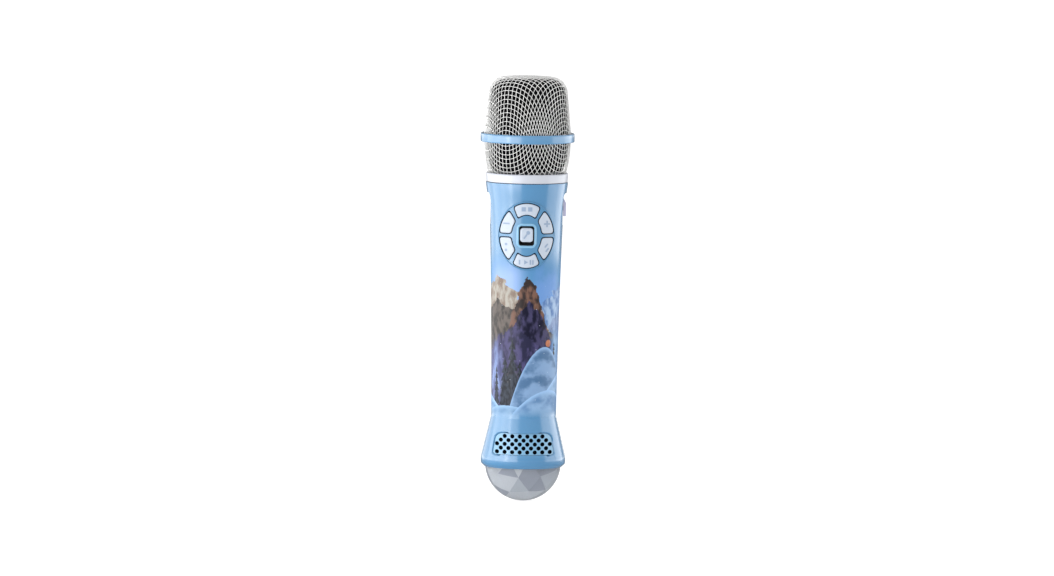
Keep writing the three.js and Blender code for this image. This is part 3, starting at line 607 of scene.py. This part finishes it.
def blank_material(name):
    """Starts a material in MATERIALS, and gives its node tree and its shader."""
    material = bpy.data.materials.new(name)
    material.use_nodes = True
    MATERIALS[name] = material
    return material.node_tree, material.node_tree.nodes["Principled BSDF"]


def set_bump(tree, shader, height, depth):
    bump = tree.nodes.new("ShaderNodeBump")
    dial(bump, {"Strength": 1, "Distance": depth * MM, "Height": height})
    dial(shader, {"Normal": bump.outputs["Normal"]})


def surface(name, colour, roughness, metallic=0.0, grain=0.8, depth=0.004, vary=0.06, spread=0.06,
            stretch=(1, 1, 1), coat=0.0, gloss=0.5):
    """A moulded or metal surface: colour drifts a little, gloss varies, and a fine grain shows."""
    tree, shader = blank_material(name)
    broad = noise(tree, 0.06)
    fine = noise(tree, grain, stretch=stretch)
    darker = tuple(c * (1 - vary) for c in colour)
    dial(shader, {
        "Base Color": lay(tree, darker, colour, broad),
        "Roughness": fine * spread + (roughness - spread / 2),
        "Metallic": metallic, "Coat Weight": coat, "Coat Roughness": 0.13, "Specular IOR Level": gloss,
    })
    set_bump(tree, shader, fine, depth)


def foam_material():
    """Black foam with open cells, each painted darker towards its middle as painted shade in its pit."""
    tree, shader = blank_material("dark_foam")
    depth = from_cells(tree, 1.6)
    # painted shade: darker at each cell's middle, where the bump sinks it into a pit
    colour = lay(tree, (0.001, 0.001, 0.0015), (0.006, 0.006, 0.007), depth)
    dial(shader, {"Base Color": colour, "Roughness": 0.95, "Specular IOR Level": 0.05})
    set_bump(tree, shader, depth, 0.25)


def clear_material(name, colour, roughness):
    tree, shader = blank_material(name)
    rough = noise(tree, 0.4) * 0.03 + roughness
    dial(shader, {"Base Color": (*colour, 1), "Transmission Weight": 1, "IOR": 1.49, "Roughness": rough})


CASE_BLUE = (0.072, 0.228, 0.425)


def winter_print(tree, ground):
    """A winter dusk printed round the handle: crags, pines, snow hills, flakes and a low sun.

    The result is the colour and a mask that is 1 where there is ink. across is mm round the handle from
    its front, and up is mm over its lowest point.
    """
    parts = tree.nodes.new("ShaderNodeSeparateXYZ")
    dial(parts, {"Vector": own_place(tree)})
    x, y, z = (Field(tree, out) for out in parts.outputs)
    across = x.math("ARCTAN2", y * -1) * PRINT_GAUGE
    up = z * (1 / MM)
    ragged = (noise(tree, 0.13, 6) - 0.5) * 18 + (noise(tree, 0.5, 5) - 0.5) * 5
    fine = (noise(tree, 0.5, 5) - 0.5) * 4

    def below(height, soft=0.5):
        return (height - up).step(soft)

    def between(low, high, soft=4):
        return (across - low).step(soft) * (high - across).step(soft)

    def mottled(dark, light, scale=0.3, stretch=(1, 1, 0.5)):
        return lay(tree, dark, light, (noise(tree, scale, 4, stretch=stretch) - 0.38).step(0.24))

    def patch(at, height, wide, tall):
        """Over 0 inside a ragged ellipse and 1 at its middle."""
        reach = ((across - at) * (1 / wide)).math("POWER", 2) + ((up - height) * (1 / tall)).math("POWER", 2)
        return 1 - reach.math("SQRT") + ragged * 0.02

    colour = lay(tree, ground, (0.36, 0.47, 0.80), below(166, 22) * between(-34, 5, 16) * 0.7)
    colour = lay(tree, colour, (0.13, 0.27, 0.56), below(160 + ragged, 22) * between(0, 30, 10))
    for at, top, slope, dark, light in CRAGS:
        crest = top - ((across - at).math("POWER", 2) + 12).math("SQRT") * slope + ragged
        colour = lay(tree, colour, mottled(dark, light), below(crest))
    from_sun = (across - SUN["at"]).math("POWER", 2) + (up - SUN["up"]).math("POWER", 2)
    sun = SUN["radius"] - from_sun.math("SQRT")
    colour = lay(tree, colour, mottled((0.36, 0.12, 0.06), (0.55, 0.22, 0.1)), sun.step(0.6))
    for at, height, wide, tall, soft, dark, light in PATCHES:
        colour = lay(tree, colour, mottled(dark, light, 0.2), patch(at, height, wide, tall).step(soft))
    for at, top, foot, width in PINES:
        share = (up * -1 + top) * (1 / (top - foot))
        tiers = (share * 7).math("FRACT") * 0.45 + share
        crown = (tiers * width - (across - at).math("ABSOLUTE") + fine * 0.3).step(0.4)
        needles = mottled((0.008, 0.010, 0.018), (0.03, 0.04, 0.06), 0.7)
        colour = lay(tree, colour, needles, crown * share.step(0.01) * (up - foot).step(1))
    for at, top, width, shade, light in SNOW_HILLS:
        hill = top - ((across - at).math("POWER", 2)) * (1 / width) + fine * 0.2
        drift = mottled(shade, light, 0.09, (1, 1, 1.5))
        snow = lay(tree, drift, tuple(min(c * 1.25, 1) for c in light), (up - (hill - 4)).step(4))
        colour = lay(tree, colour, snow, below(hill))
    flakes = (0.07 - from_cells(tree, 0.22)).step(0.04) * below(150, 20)
    colour = lay(tree, colour, (0.6, 0.7, 0.85), flakes * 0.7)
    inside = (up - 54).step(8) * below(166, 18) * between(-60, 60, 14)
    return lay(tree, ground, colour, inside), inside


# The tables of the print are in mm, across and up as above. A later row lies over an earlier one.
SUN = {"at": 17, "up": 103, "radius": 2.6}
# where, top, slope, and two colours
CRAGS = (
    (26, 142, 0.8, (0.08, 0.17, 0.38), (0.30, 0.42, 0.60)),
    (-48, 138, 0.6, (0.09, 0.15, 0.30), (0.22, 0.30, 0.48)),
    (60, 140, 0.6, (0.09, 0.15, 0.30), (0.22, 0.30, 0.48)),
    (-21, 150, 1.0, (0.20, 0.15, 0.12), (0.36, 0.34, 0.30)),
    (-22, 131, 0.5, (0.035, 0.032, 0.03), (0.12, 0.10, 0.09)),
    (2, 158, 3.2, (0.030, 0.022, 0.022), (0.17, 0.09, 0.065)),
    (3, 137, 1.9, (0.006, 0.006, 0.022), (0.05, 0.045, 0.11)),
    (-8, 118, 1.0, (0.018, 0.018, 0.05), (0.065, 0.058, 0.15)),
)
# where, height of the middle, half width, half height, softness of the edge, and two colours
PATCHES = (
    (-24, 82, 11, 28, 0.7, (0.07, 0.08, 0.20), (0.20, 0.27, 0.50)),
    (-9, 70, 10, 18, 0.35, (0.018, 0.018, 0.024), (0.06, 0.06, 0.07)),
    (26, 92, 10, 26, 0.5, (0.09, 0.20, 0.42), (0.22, 0.36, 0.56)),
)
# where, top, foot, half width at the foot
PINES = (
    (-8.5, 106, 58, 4.6), (-14, 94, 58, 4.0), (-3.2, 92, 58, 3.2), (-22, 88, 60, 2.6), (23, 104, 84, 2.0),
    (33, 100, 66, 3.6), (-36, 102, 62, 4.0), (58, 106, 62, 4.6), (-52, 96, 62, 3.6),
)
# where, top, width of the curve, and the shaded and lit snow
SNOW_HILLS = (
    (14, 101, 15, (0.07, 0.15, 0.28), (0.19, 0.31, 0.50)),
    (42, 86, 50, (0.12, 0.24, 0.42), (0.24, 0.38, 0.58)),
    (-44, 72, 60, (0.12, 0.24, 0.42), (0.24, 0.38, 0.58)),
    (-13, 63, 90, (0.11, 0.22, 0.38), (0.20, 0.33, 0.50)),
    (18, 73, 44, (0.11, 0.22, 0.40), (0.22, 0.36, 0.56)),
)


def case_material():
    """Gloss blue plastic with a print of duller ink."""
    tree, shader = blank_material("case_blue")
    drift = lay(tree, tuple(c * 0.96 for c in CASE_BLUE), CASE_BLUE, noise(tree, 0.05))
    colour, ink = winter_print(tree, drift)
    fine = noise(tree, 1.2)
    dial(shader, {
        "Base Color": colour, "Roughness": fine * 0.05 + 0.23 + ink * 0.15, "Coat Weight": ink * -0.8 + 0.95,
        "Coat Roughness": 0.15, "Specular IOR Level": ink * -0.35 + 0.5,
    })
    set_bump(tree, shader, fine, 0.002)


case_material()
surface("plain_blue", CASE_BLUE, 0.2, coat=0.9, depth=0.002)
surface("pad_blue", (0.08, 0.235, 0.42), 0.25, coat=0.5, depth=0.002)
# paler than the case's blue: a painted highlight for the light that the slide frame's rounded edge catches
surface("frame_highlight_blue", (0.2, 0.42, 0.62), 0.25, coat=0.5, depth=0.002)
surface("grille_blue", (0.18, 0.38, 0.57), 0.3, coat=0.4, depth=0.002)
surface("ring_blue", (0.095, 0.255, 0.45), 0.22, coat=0.9, depth=0.002)
surface("white_plastic", (0.505, 0.53, 0.59), 0.3, coat=0.3, vary=0.03, depth=0.002)
surface("key_pearl", (0.455, 0.515, 0.605), 0.38, coat=0.1, vary=0.05, depth=0.002)
surface("icon_ink", (0.25, 0.33, 0.46), 0.45)
surface("knob_lilac", (0.6, 0.57, 0.72), 0.3)
surface("black_plastic", (0.006, 0.007, 0.01), 0.5, grain=1.5, depth=0.02, gloss=0.3)
surface("soft_rubber", (0.004, 0.007, 0.018), 0.9, grain=2, depth=0.03, gloss=0.1)
foam_material()
surface("woven_wire", (0.95, 0.95, 0.94), 0.28, metallic=0.5, grain=3, depth=0.006, stretch=(1, 1, 4))
surface("bare_steel", (0.6, 0.6, 0.6), 0.35, metallic=1, grain=2, stretch=(1, 1, 6))
surface("screw_zinc", (0.62, 0.6, 0.55), 0.35, metallic=1, grain=2)
surface("board_green", (0.02, 0.13, 0.06), 0.4, grain=0.5, depth=0.02)
surface("board_white", (0.78, 0.79, 0.8), 0.5, depth=0.01)
surface("speaker_cloth", (0.002, 0.003, 0.006), 0.95, grain=3, depth=0.08, gloss=0.05)
surface("cell_wrap", (0.04, 0.14, 0.42), 0.3)
surface("cone_paper", (0.015, 0.015, 0.017), 0.85, grain=2.5, depth=0.05)
surface("lead_red", (0.4, 0.02, 0.02), 0.5)
surface("lead_black", (0.015, 0.015, 0.017), 0.5)
clear_material("lamp_clear", (0.95, 0.96, 0.98), 0.05)
clear_material("dome_clear", (0.86, 0.88, 0.91), 0.03)
# The dome's facets are matt, and these tones stand in for what each of them would mirror.
FACETS = {"light": (0.74, 0.77, 0.81), "middle": (0.60, 0.64, 0.69), "dark": (0.44, 0.47, 0.54)}
for tone, colour in FACETS.items():
    surface(f"{tone}_facet", colour, 0.45, metallic=0.15, vary=0.03, spread=0.02)

# CAD material slots that take a material of another name
NODE_FINISH = {
    "screw_steel": "screw_zinc", "wire_mesh": "woven_wire",
    "case_blue": "plain_blue", "key_white": "key_pearl",
}
SOFTENED = ("power_knob", "charge_socket", "voice_tray")  # CAD nodes in view whose edges are rounded


def dress_cad_nodes():
    """Gives every carried-over CAD node its finish, and rounds the edges of the few in view."""
    for row in frame["record"]["subparts"]:
        node, slot = frame["nodes"][row["node"]], row["material_slot"]
        node.data.materials.clear()
        node.data.materials.append(MATERIALS[NODE_FINISH.get(slot, slot)])
    for name in SOFTENED:
        bevel = frame["nodes"][name].modifiers.new("soft_edges", "BEVEL")
        bevel.width, bevel.segments, bevel.limit_method = 0.25 * MM, 3, "ANGLE"


# ---------------------------------------------------------------- pieces


def make_head():
    """Two woven baskets, each of two sets of wires that pass over and under each other."""
    profiles = {"upper": upper_profile(), "lower": lower_profile()}
    for part, profile in profiles.items():
        for family, word in enumerate(("warp", "weft")):
            wires = wire_mesh(f"{part}_{word}_wires", wire_paths(profile, family, *BASKETS[part]))
            finish_piece(wires, "root", "woven_wire", "wire_mesh", f"{part}_basket")


def make_foam():
    """One hollow foam cup that follows both baskets, a little inside them."""
    gap, thickness = 1.1, 3
    bend_start, bend_height = 255, 12  # over this height the foam turns from a wall into a crown

    def moved_in(outline, by):
        share = np.clip((outline[:, 1] - bend_start) / bend_height, 0, 1)
        return np.c_[np.maximum(outline[:, 0] - by, 0.01), outline[:, 1] - by * share]

    lower = bezier([(22.6, 213.4), (25.0, 217), (26.5, 226), (26.6, 235.5)], 24)
    outside = np.vstack([lower, moved_in(upper_profile()[::-1][2:], gap)])
    inside = moved_in(outside[::-1], thickness)
    foam = new_piece("foam_liner", *revolved(np.vstack([outside, inside]), sides=96))
    finish_piece(foam, "root", "dark_foam", "dark_foam", "foam_windscreen")


def make_rings():
    """The blue ring round the head, and the white collar under it."""
    radius, bore, low, high = (RING[key] for key in ("radius", "bore", "low", "high"))
    band = rounded_box((bore + radius) / 2, (low + high) / 2, radius - bore, high - low, 0.75)
    ring = new_piece("grille_ring", *revolved(band))
    finish_piece(ring, "root", "ring_blue", "ring_blue", "head_ring")
    radius, low, high = (COLLAR[key] for key in ("radius", "low", "high"))
    outline = np.vstack([
        [(22.8, low)],
        bezier([(radius - 0.7, low), (radius - 0.3, low), (radius - 0.3, low + 0.3)], 6),
        bezier([(radius, high - 1.1), (radius, high), (radius - 0.9, high)], 8),
        [(25.5, high), (25.5, low + 1.5), (22.8, low + 1.5)],
    ])
    collar = new_piece("neck_collar", *revolved(outline))
    finish_piece(collar, "root", "white_plastic", "white_plastic", "collar_ring")


def key_cutters():
    return [prism(key_outline(span, KEY_CLEARANCE), "Y", AHEAD, -6) for span in KEY_SPANS.values()]


def slot_cutter():
    return prism(slot_outline(0.3), "Y", AHEAD, -12)


def slot_outline(grow):
    """The opening that the middle knob stands in, grown as asked."""
    return rounded_box(0, SLOT["centre"], SLOT["width"] + 2 * grow, SLOT["height"] + 2 * grow, 1.6 + grow)


def grille_outline(grow):
    """Wider below than above, with large upper corners."""
    low, high = GRILLE["low"] - grow, GRILLE["high"] + grow
    wide, narrow = GRILLE["low_half"] + grow, GRILLE["high_half"] + grow
    soft, tight = 5.5, 2.5  # how far the upper and the lower corners' curves reach
    half = np.vstack([
        bezier([(wide - tight, low), (wide, low), (wide - 0.2, low + tight)], 8),
        bezier([(narrow + 0.3, high - soft), (narrow, high), (narrow - soft, high)], 12),
    ])
    return np.vstack([half, half[::-1] * (-1, 1)])


def grille_chamfer():
    """What a sloping edge takes off all round the grille's window."""
    section = ((0.02, -0.8), (0.9, 0.02), (0.9, 1.5), (0.02, 1.5))
    return layers([(grille_outline(grow), level) for grow, level in section], on_case, closed=True)


def side_recess(side):
    """What is cut away outside a side recess's flat floor. Its ends slope outward."""
    middle, tall = (SIDE["low"] + SIDE["high"]) / 2, SIDE["high"] - SIDE["low"]
    deep = 2 * SIDE["half_depth"]
    rings = []
    for out, grow in ((0, -0.5), (1.2, 0.4), (15, 0.4)):
        outline = rounded_box(0, middle, deep + 2 * grow, tall + 2 * grow, SIDE["corner"])
        rings.append((outline, side * (SIDE["floor"] + out)))
    return layers(rings, lambda y, z, x: (x, y, z))


def side_openings():
    """The slot of the power slide's stem and the charging socket's mouth."""
    stem = rounded_box(0, 190.4, 4.4, 6.2, 0.4)
    mouth = rounded_box(0, 188.8, 3.2, 8.1, 0.6)
    return [prism(stem, "X", 15, 30), prism(mouth, "X", -30, -15)]


def wall_section(azimuth):
    """The handle's wall at one azimuth. It is thicker behind the side recesses' flat floors."""
    behind_recess = abs(math.cos(azimuth)) < (SIDE["half_depth"] + 1) / SIDE["floor"]
    inside = [(r - WALL, z) for r, z in OUTLINE[::-1] if z > FOOT[1] - 1]
    if behind_recess:
        low, high = BEHIND_SIDE
        limit = SIDE["floor"] - WALL
        inside = [(min(r, limit) if low < z < high else r, z) for r, z in inside]
    lip = [(FOOT[0] - WALL, 24.3), (24.7, 24.3), (24.7, LIP[1])]
    return np.vstack([OUTLINE, inside, lip])


def half_shell(name, front):
    """The front or the rear half of the handle, with its half of each side opening."""
    start = -math.pi / 2 + SEAM if front else math.pi / 2 + SEAM
    shell = new_piece(name, *revolved(wall_section, start, start + math.pi - 2 * SEAM))
    combine(shell, [side_recess(1), side_recess(-1)])
    return combine(shell, side_openings())


def make_seam_tongues():
    """The tongue that closes each parting line half way through the wall, clear of the side openings."""
    below, above = 25, 205.8
    sides = {"left": (-0.5, (184.6, 193)), "right": (0.5, (187.2, 193.7))}  # half turns, and the opening
    for word, (middle, (opening_low, opening_high)) in sides.items():
        for index, (low, high) in enumerate(((below, opening_low), (opening_high, above))):
            heights = np.linspace(low, high, 60)
            outside = np.array([case_radius(z) for z in heights]) - 0.5
            beside_recess = (heights > BEHIND_SIDE[0]) & (heights < BEHIND_SIDE[1])
            outside = np.where(beside_recess, np.minimum(outside, SIDE["floor"] - 0.5), outside)
            outline = np.r_[np.c_[outside, heights], np.c_[outside - 1, heights][::-1]]
            tongue = revolved(outline, middle * math.pi - TONGUE, middle * math.pi + TONGUE)
            piece = new_piece(f"seam_tongue_{word}_{index}", *tongue)
            finish_piece(piece, "root", "plain_blue", "case_blue")


def make_case():
    """Both halves of the handle, with the openings of the keys, the slide, the grille and the screws."""
    front = half_shell("front_case", True)
    combine(front, [*key_cutters(), slot_cutter(), prism(grille_outline(0.12), "Y", AHEAD, -6)])
    combine(front, [grille_chamfer()])
    finish_piece(front, "root", "case_blue", "case_blue", "front_shell")
    rear = half_shell("rear_case", False)
    bore, seat = SCREW_WELL["bore"], SCREW_WELL["seat"]
    combine(rear, [prism(disc(x, z, bore), "Y", seat, 40) for x, z in SCREWS.values()])
    finish_piece(rear, "root", "case_blue", "case_blue", "rear_shell")
    make_screw_wells()
    make_seam_tongues()


def make_screw_wells():
    """The tubes that carry the case screws, seen down their wells."""
    bore, seat, outside, hole, end = SCREW_WELL.values()
    lining = bore - 0.05
    for word, (x, z) in SCREWS.items():
        face = math.sqrt(case_radius(z) ** 2 - (abs(x) + bore) ** 2) - 0.6
        section = ((outside, end), (outside, face), (lining, face), (lining, seat), (hole, seat), (hole, end))
        rings = [(disc(x, z, radius), y) for radius, y in section]
        tube = new_piece(f"screw_well_{word}", *layers(rings, lambda a, b, y: (a, y, b), closed=True))
        finish_piece(tube, "root", "plain_blue", "case_blue")


def make_key_pad():
    """The low oval plateau that the keys stand in, with a bead along its edge, and the slide's frame."""
    turns = np.linspace(0, 2 * math.pi, 120, endpoint=False)
    across, up = PAD["across"] * np.cos(turns), PAD["up"] * np.sin(turns)
    around = np.c_[np.cos(turns), np.sin(turns)]
    oval = lambda grow: np.c_[across, KEY_CENTRE + up] + grow * around
    flat = PAD["rise"] - 0.2
    edge = ((0, -0.5), (0, 0.35), (-0.1, 0.62), (-0.3, 0.75), (-0.5, 0.7), (-0.65, 0.5), (-0.75, flat))
    rings = capped(oval, edge, np.linspace(0.95, 0.05, 18))
    pad = combine(new_piece("key_pad", *layers(rings, on_case)), [*key_cutters(), slot_cutter()])
    finish_piece(pad, "root", "pad_blue", "case_blue")
    wide, rise = (BEZEL["width"] - SLOT["width"]) / 2, BEZEL["rise"]
    section = ((0.05, -0.4), (0.05, rise - 0.3), (0.55, rise + 0.05), (0.95, rise + 0.1), (1.4, rise - 0.1),
               (wide, rise - 0.45), (wide, -0.4))
    rings = [(slot_outline(grow), level) for grow, level in section]
    bezel = new_piece("well_frame", *layers(rings, on_case, closed=True))
    # the frame's paler blue is a painted highlight on its rounded edge
    finish_piece(bezel, "root", "frame_highlight_blue", "case_blue")


def make_keys():
    """The six caps, and the dark rubber seal that rides with each and fills the gap round it."""
    top = KEY_RISE
    cap_edge = ((0, -0.4), (0, top - 0.5), (-0.1, top - 0.2), (-0.28, top - 0.05), (-0.5, top))
    seal_edge = ((0.9, -3.0), (0.9, -2.3), (0.5, -2.3), (0.5, -0.6), (0.4, -0.5))
    for word, span in KEY_SPANS.items():
        outline_at = functools.partial(key_outline, span)
        cap = new_piece(f"keycap_{word}", *layers(capped(outline_at, cap_edge), on_case))
        finish_piece(cap, f"key_{word}", "key_pearl", "key_white", f"key_{word}")
        seal = new_piece(f"key_seal_{word}", *layers(capped(outline_at, seal_edge), on_case))
        finish_piece(seal, f"key_{word}", "soft_rubber", "black_plastic")


def bar_icon(x, z, length, width, angle):
    """A round-ended bar about (x, z), turned by `angle`."""
    turn = np.array([[math.cos(angle), math.sin(angle)], [-math.sin(angle), math.cos(angle)]])
    return rounded_box(0, 0, length, width, width * 0.45, 3) @ turn + (x, z)


def make_icons():
    """Plain signs on the keys: less, more, play and pause, pairs of squares and dots."""
    end, side = 17.1, 7.6  # how far from the keys' centre the signs stand, up or down
    top, low, upper, under = KEY_CENTRE + end, KEY_CENTRE - end, KEY_CENTRE + side, KEY_CENTRE - side
    across = 13.1
    boxes = {  # middle, width and height of each
        "top": ((-2.1, top, 2.8, 2.8), (2.1, top, 2.8, 2.8)),
        "upper_left": ((-across, upper, 4.2, 1.0),),
        "upper_right": ((across, upper, 4.0, 1.1), (across, upper + 1.35, 1.1, 1.5),
                        (across, upper - 1.35, 1.1, 1.5)),
        "bottom": ((-4.3, low, 1.0, 3.0), (2.7, low, 1.0, 3.0), (4.3, low, 1.0, 3.0)),
    }
    outlines = {
        "lower_left": (disc(-across, under + 1.9, 0.9, 12), disc(-across, under - 1.9, 0.9, 12)),
        "lower_right": (bar_icon(across - 0.3, under + 1.2, 3.2, 1.1, 0.9),
                        bar_icon(across + 0.3, under - 1.6, 3.2, 1.1, 0.9)),
        "bottom": (np.array([(-1.3, low - 1.5), (1.3, low), (-1.3, low + 1.5)]),),
    }
    below, above = KEY_RISE - SIGN_SUNK, KEY_RISE + SIGN_RISE
    signs = []
    for word, shapes in boxes.items():
        for x, z, width, height in shapes:
            columns = np.linspace(x - width / 2, x + width / 2, 9)
            signs.append((word, curved_sheet(columns, (z - height / 2, z + height / 2), above, below)))
    for word, shapes in outlines.items():
        signs += [(word, layers([(shape, below), (shape, above)], on_case)) for shape in shapes]
    for index, (word, mesh) in enumerate(signs):
        icon = new_piece(f"icon_{word}_{index}", *mesh)
        finish_piece(icon, f"key_{word}", "icon_ink", "key_white")


def make_voice_knob():
    """The middle knob, with a plain microphone sign: a round head and a slanting handle."""
    centre, front, width, height = KNOB["centre"], KNOB["front"], KNOB["width"], KNOB["height"]
    square = lambda grow: rounded_box(0, centre, width + 2 * grow, height + 2 * grow, 1.8 + grow * 0.6)
    flat = lambda x, z, level: (x, -level, z)
    edge = ((0, -KNOB["depth"]), (0, -0.9), (-0.15, -0.4), (-0.6, -0.1), (-1.1, 0))
    rings = capped(square, [(grow, front + level) for grow, level in edge])
    knob = new_piece("voice_slider", *layers(rings, flat))
    finish_piece(knob, "voice_knob", "key_pearl", "key_white", "voice_knob")
    signs = (disc(1.0, centre + 1.5, 1.25), bar_icon(-0.75, centre - 0.95, 3.6, 1.1, 0.95))
    below, above = front - SIGN_SUNK, front + SIGN_RISE
    for index, outline in enumerate(signs):
        icon = new_piece(f"icon_voice_{index}", *layers([(outline, below), (outline, above)], flat))
        finish_piece(icon, "voice_knob", "icon_ink", "key_white")


def curved_sheet(xs, zs, near, far):
    """A closed sheet between two levels over the handle's surface, on a grid of xs and zs."""
    vertices = [on_case(x, z, level) for level in (near, far) for z in zs for x in xs]
    count, rows = len(xs), len(zs)
    half = count * rows
    faces = []
    for i in range(rows - 1):
        for j in range(count - 1):
            a = i * count + j
            faces.append((a, a + 1, a + count + 1, a + count))
            faces.append((half + a, half + a + count, half + a + count + 1, half + a + 1))
    rim = [*range(count), *range(2 * count - 1, half, count), *range(half - 2, half - count - 1, -1),
           *range(half - 2 * count, 0, -count)]
    faces += [(a, b, half + b, half + a) for a, b in zip(rim, rim[1:] + rim[:1])]
    return vertices, faces


def make_grille():
    """The drilled panel, a curved plate that follows the flared base."""
    reach, low, high = GRILLE["low_half"] + 0.8, GRILLE["low"] - 1, GRILLE["high"] + 1
    sheet = curved_sheet(np.linspace(-reach, reach, 83), np.linspace(low, high, 35), -GRILLE["sunk"], -2)
    plate = new_piece("grille_panel", *sheet)
    combine(plate, [prism(grille_outline(0), "Y", AHEAD, -5)], "INTERSECT")
    holes = []
    for row, number in enumerate(HOLES["rows"]):
        z = HOLES["lowest"] + row * HOLES["row_pitch"]
        for i in range(number):
            x = (i - (number - 1) / 2) * HOLES["pitch"]
            holes.append(prism(disc(x, z, HOLES["radius"], 20), "Y", AHEAD, -5))
    combine(plate, holes)
    finish_piece(plate, "root", "grille_blue", "grille_blue", "speaker_grille")
    cloth = curved_sheet(np.linspace(-reach, reach, 43), np.linspace(low, high, 17), -2.6, -2.9)
    finish_piece(new_piece("grille_cloth", *cloth), "root", "speaker_cloth", "grille_blue")


def make_dome():
    """A clear moulding: round outside, with flat facets inside, each painted a pale tone as a painted
    reflection.
    """
    radius, flange = DOME["radius"], DOME["flange"]
    outside = arc((0, radius), radius, -math.pi / 2, 0, 60)
    outside[0, 0] = 0.001
    rim = [(radius, DOME["low"]), (flange, DOME["low"]), (flange, DOME["high"]), (0.001, DOME["high"])]
    dome = new_piece("clear_dome", *revolved(np.vstack([outside, rim])), sharp=12)
    build = bmesh.new()
    lean = Matrix.Rotation(0.35, 4, "X") @ Matrix.Rotation(0.5, 4, "Z")
    bmesh.ops.create_icosphere(build, subdivisions=2, radius=DOME["facets"], matrix=lean)
    vertices = [(v.co.x, v.co.y, v.co.z + radius) for v in build.verts]
    faces = [tuple(v.index for v in f.verts) for f in build.faces]
    build.free()
    combine(dome, [(vertices, faces)], sharp=12)
    finish_piece(dome, "root", "dome_clear", "dome_clear", "light_dome")
    for tone in ("middle", "dark", "light"):
        dome.data.materials.append(MATERIALS[f"{tone}_facet"])
    centre, reach, top = Vector((0, 0, radius)) * MM, (DOME["facets"] + 0.3) * MM, (DOME["high"] - 0.1) * MM
    for face in dome.data.polygons:
        if (face.center - centre).length < reach and face.center.z < top:
            # each facet takes a painted reflection tone from an arbitrary mix of its directions, so that
            # neighbours rarely share a tone
            face.material_index = 1 + int(abs(face.normal.dot((7, 5, 3)))) % 3


bpy.context.scene.view_settings.view_transform = "Standard"
make_camera()
make_world()
make_floor()
for azimuth, power in PANELS:
    softbox(f"panel_{azimuth % 360}", azimuth, power)
dress_cad_nodes()
make_head()
make_foam()
make_rings()
make_case()
make_key_pad()
make_keys()
make_icons()
make_voice_knob()
make_grille()
make_dome()
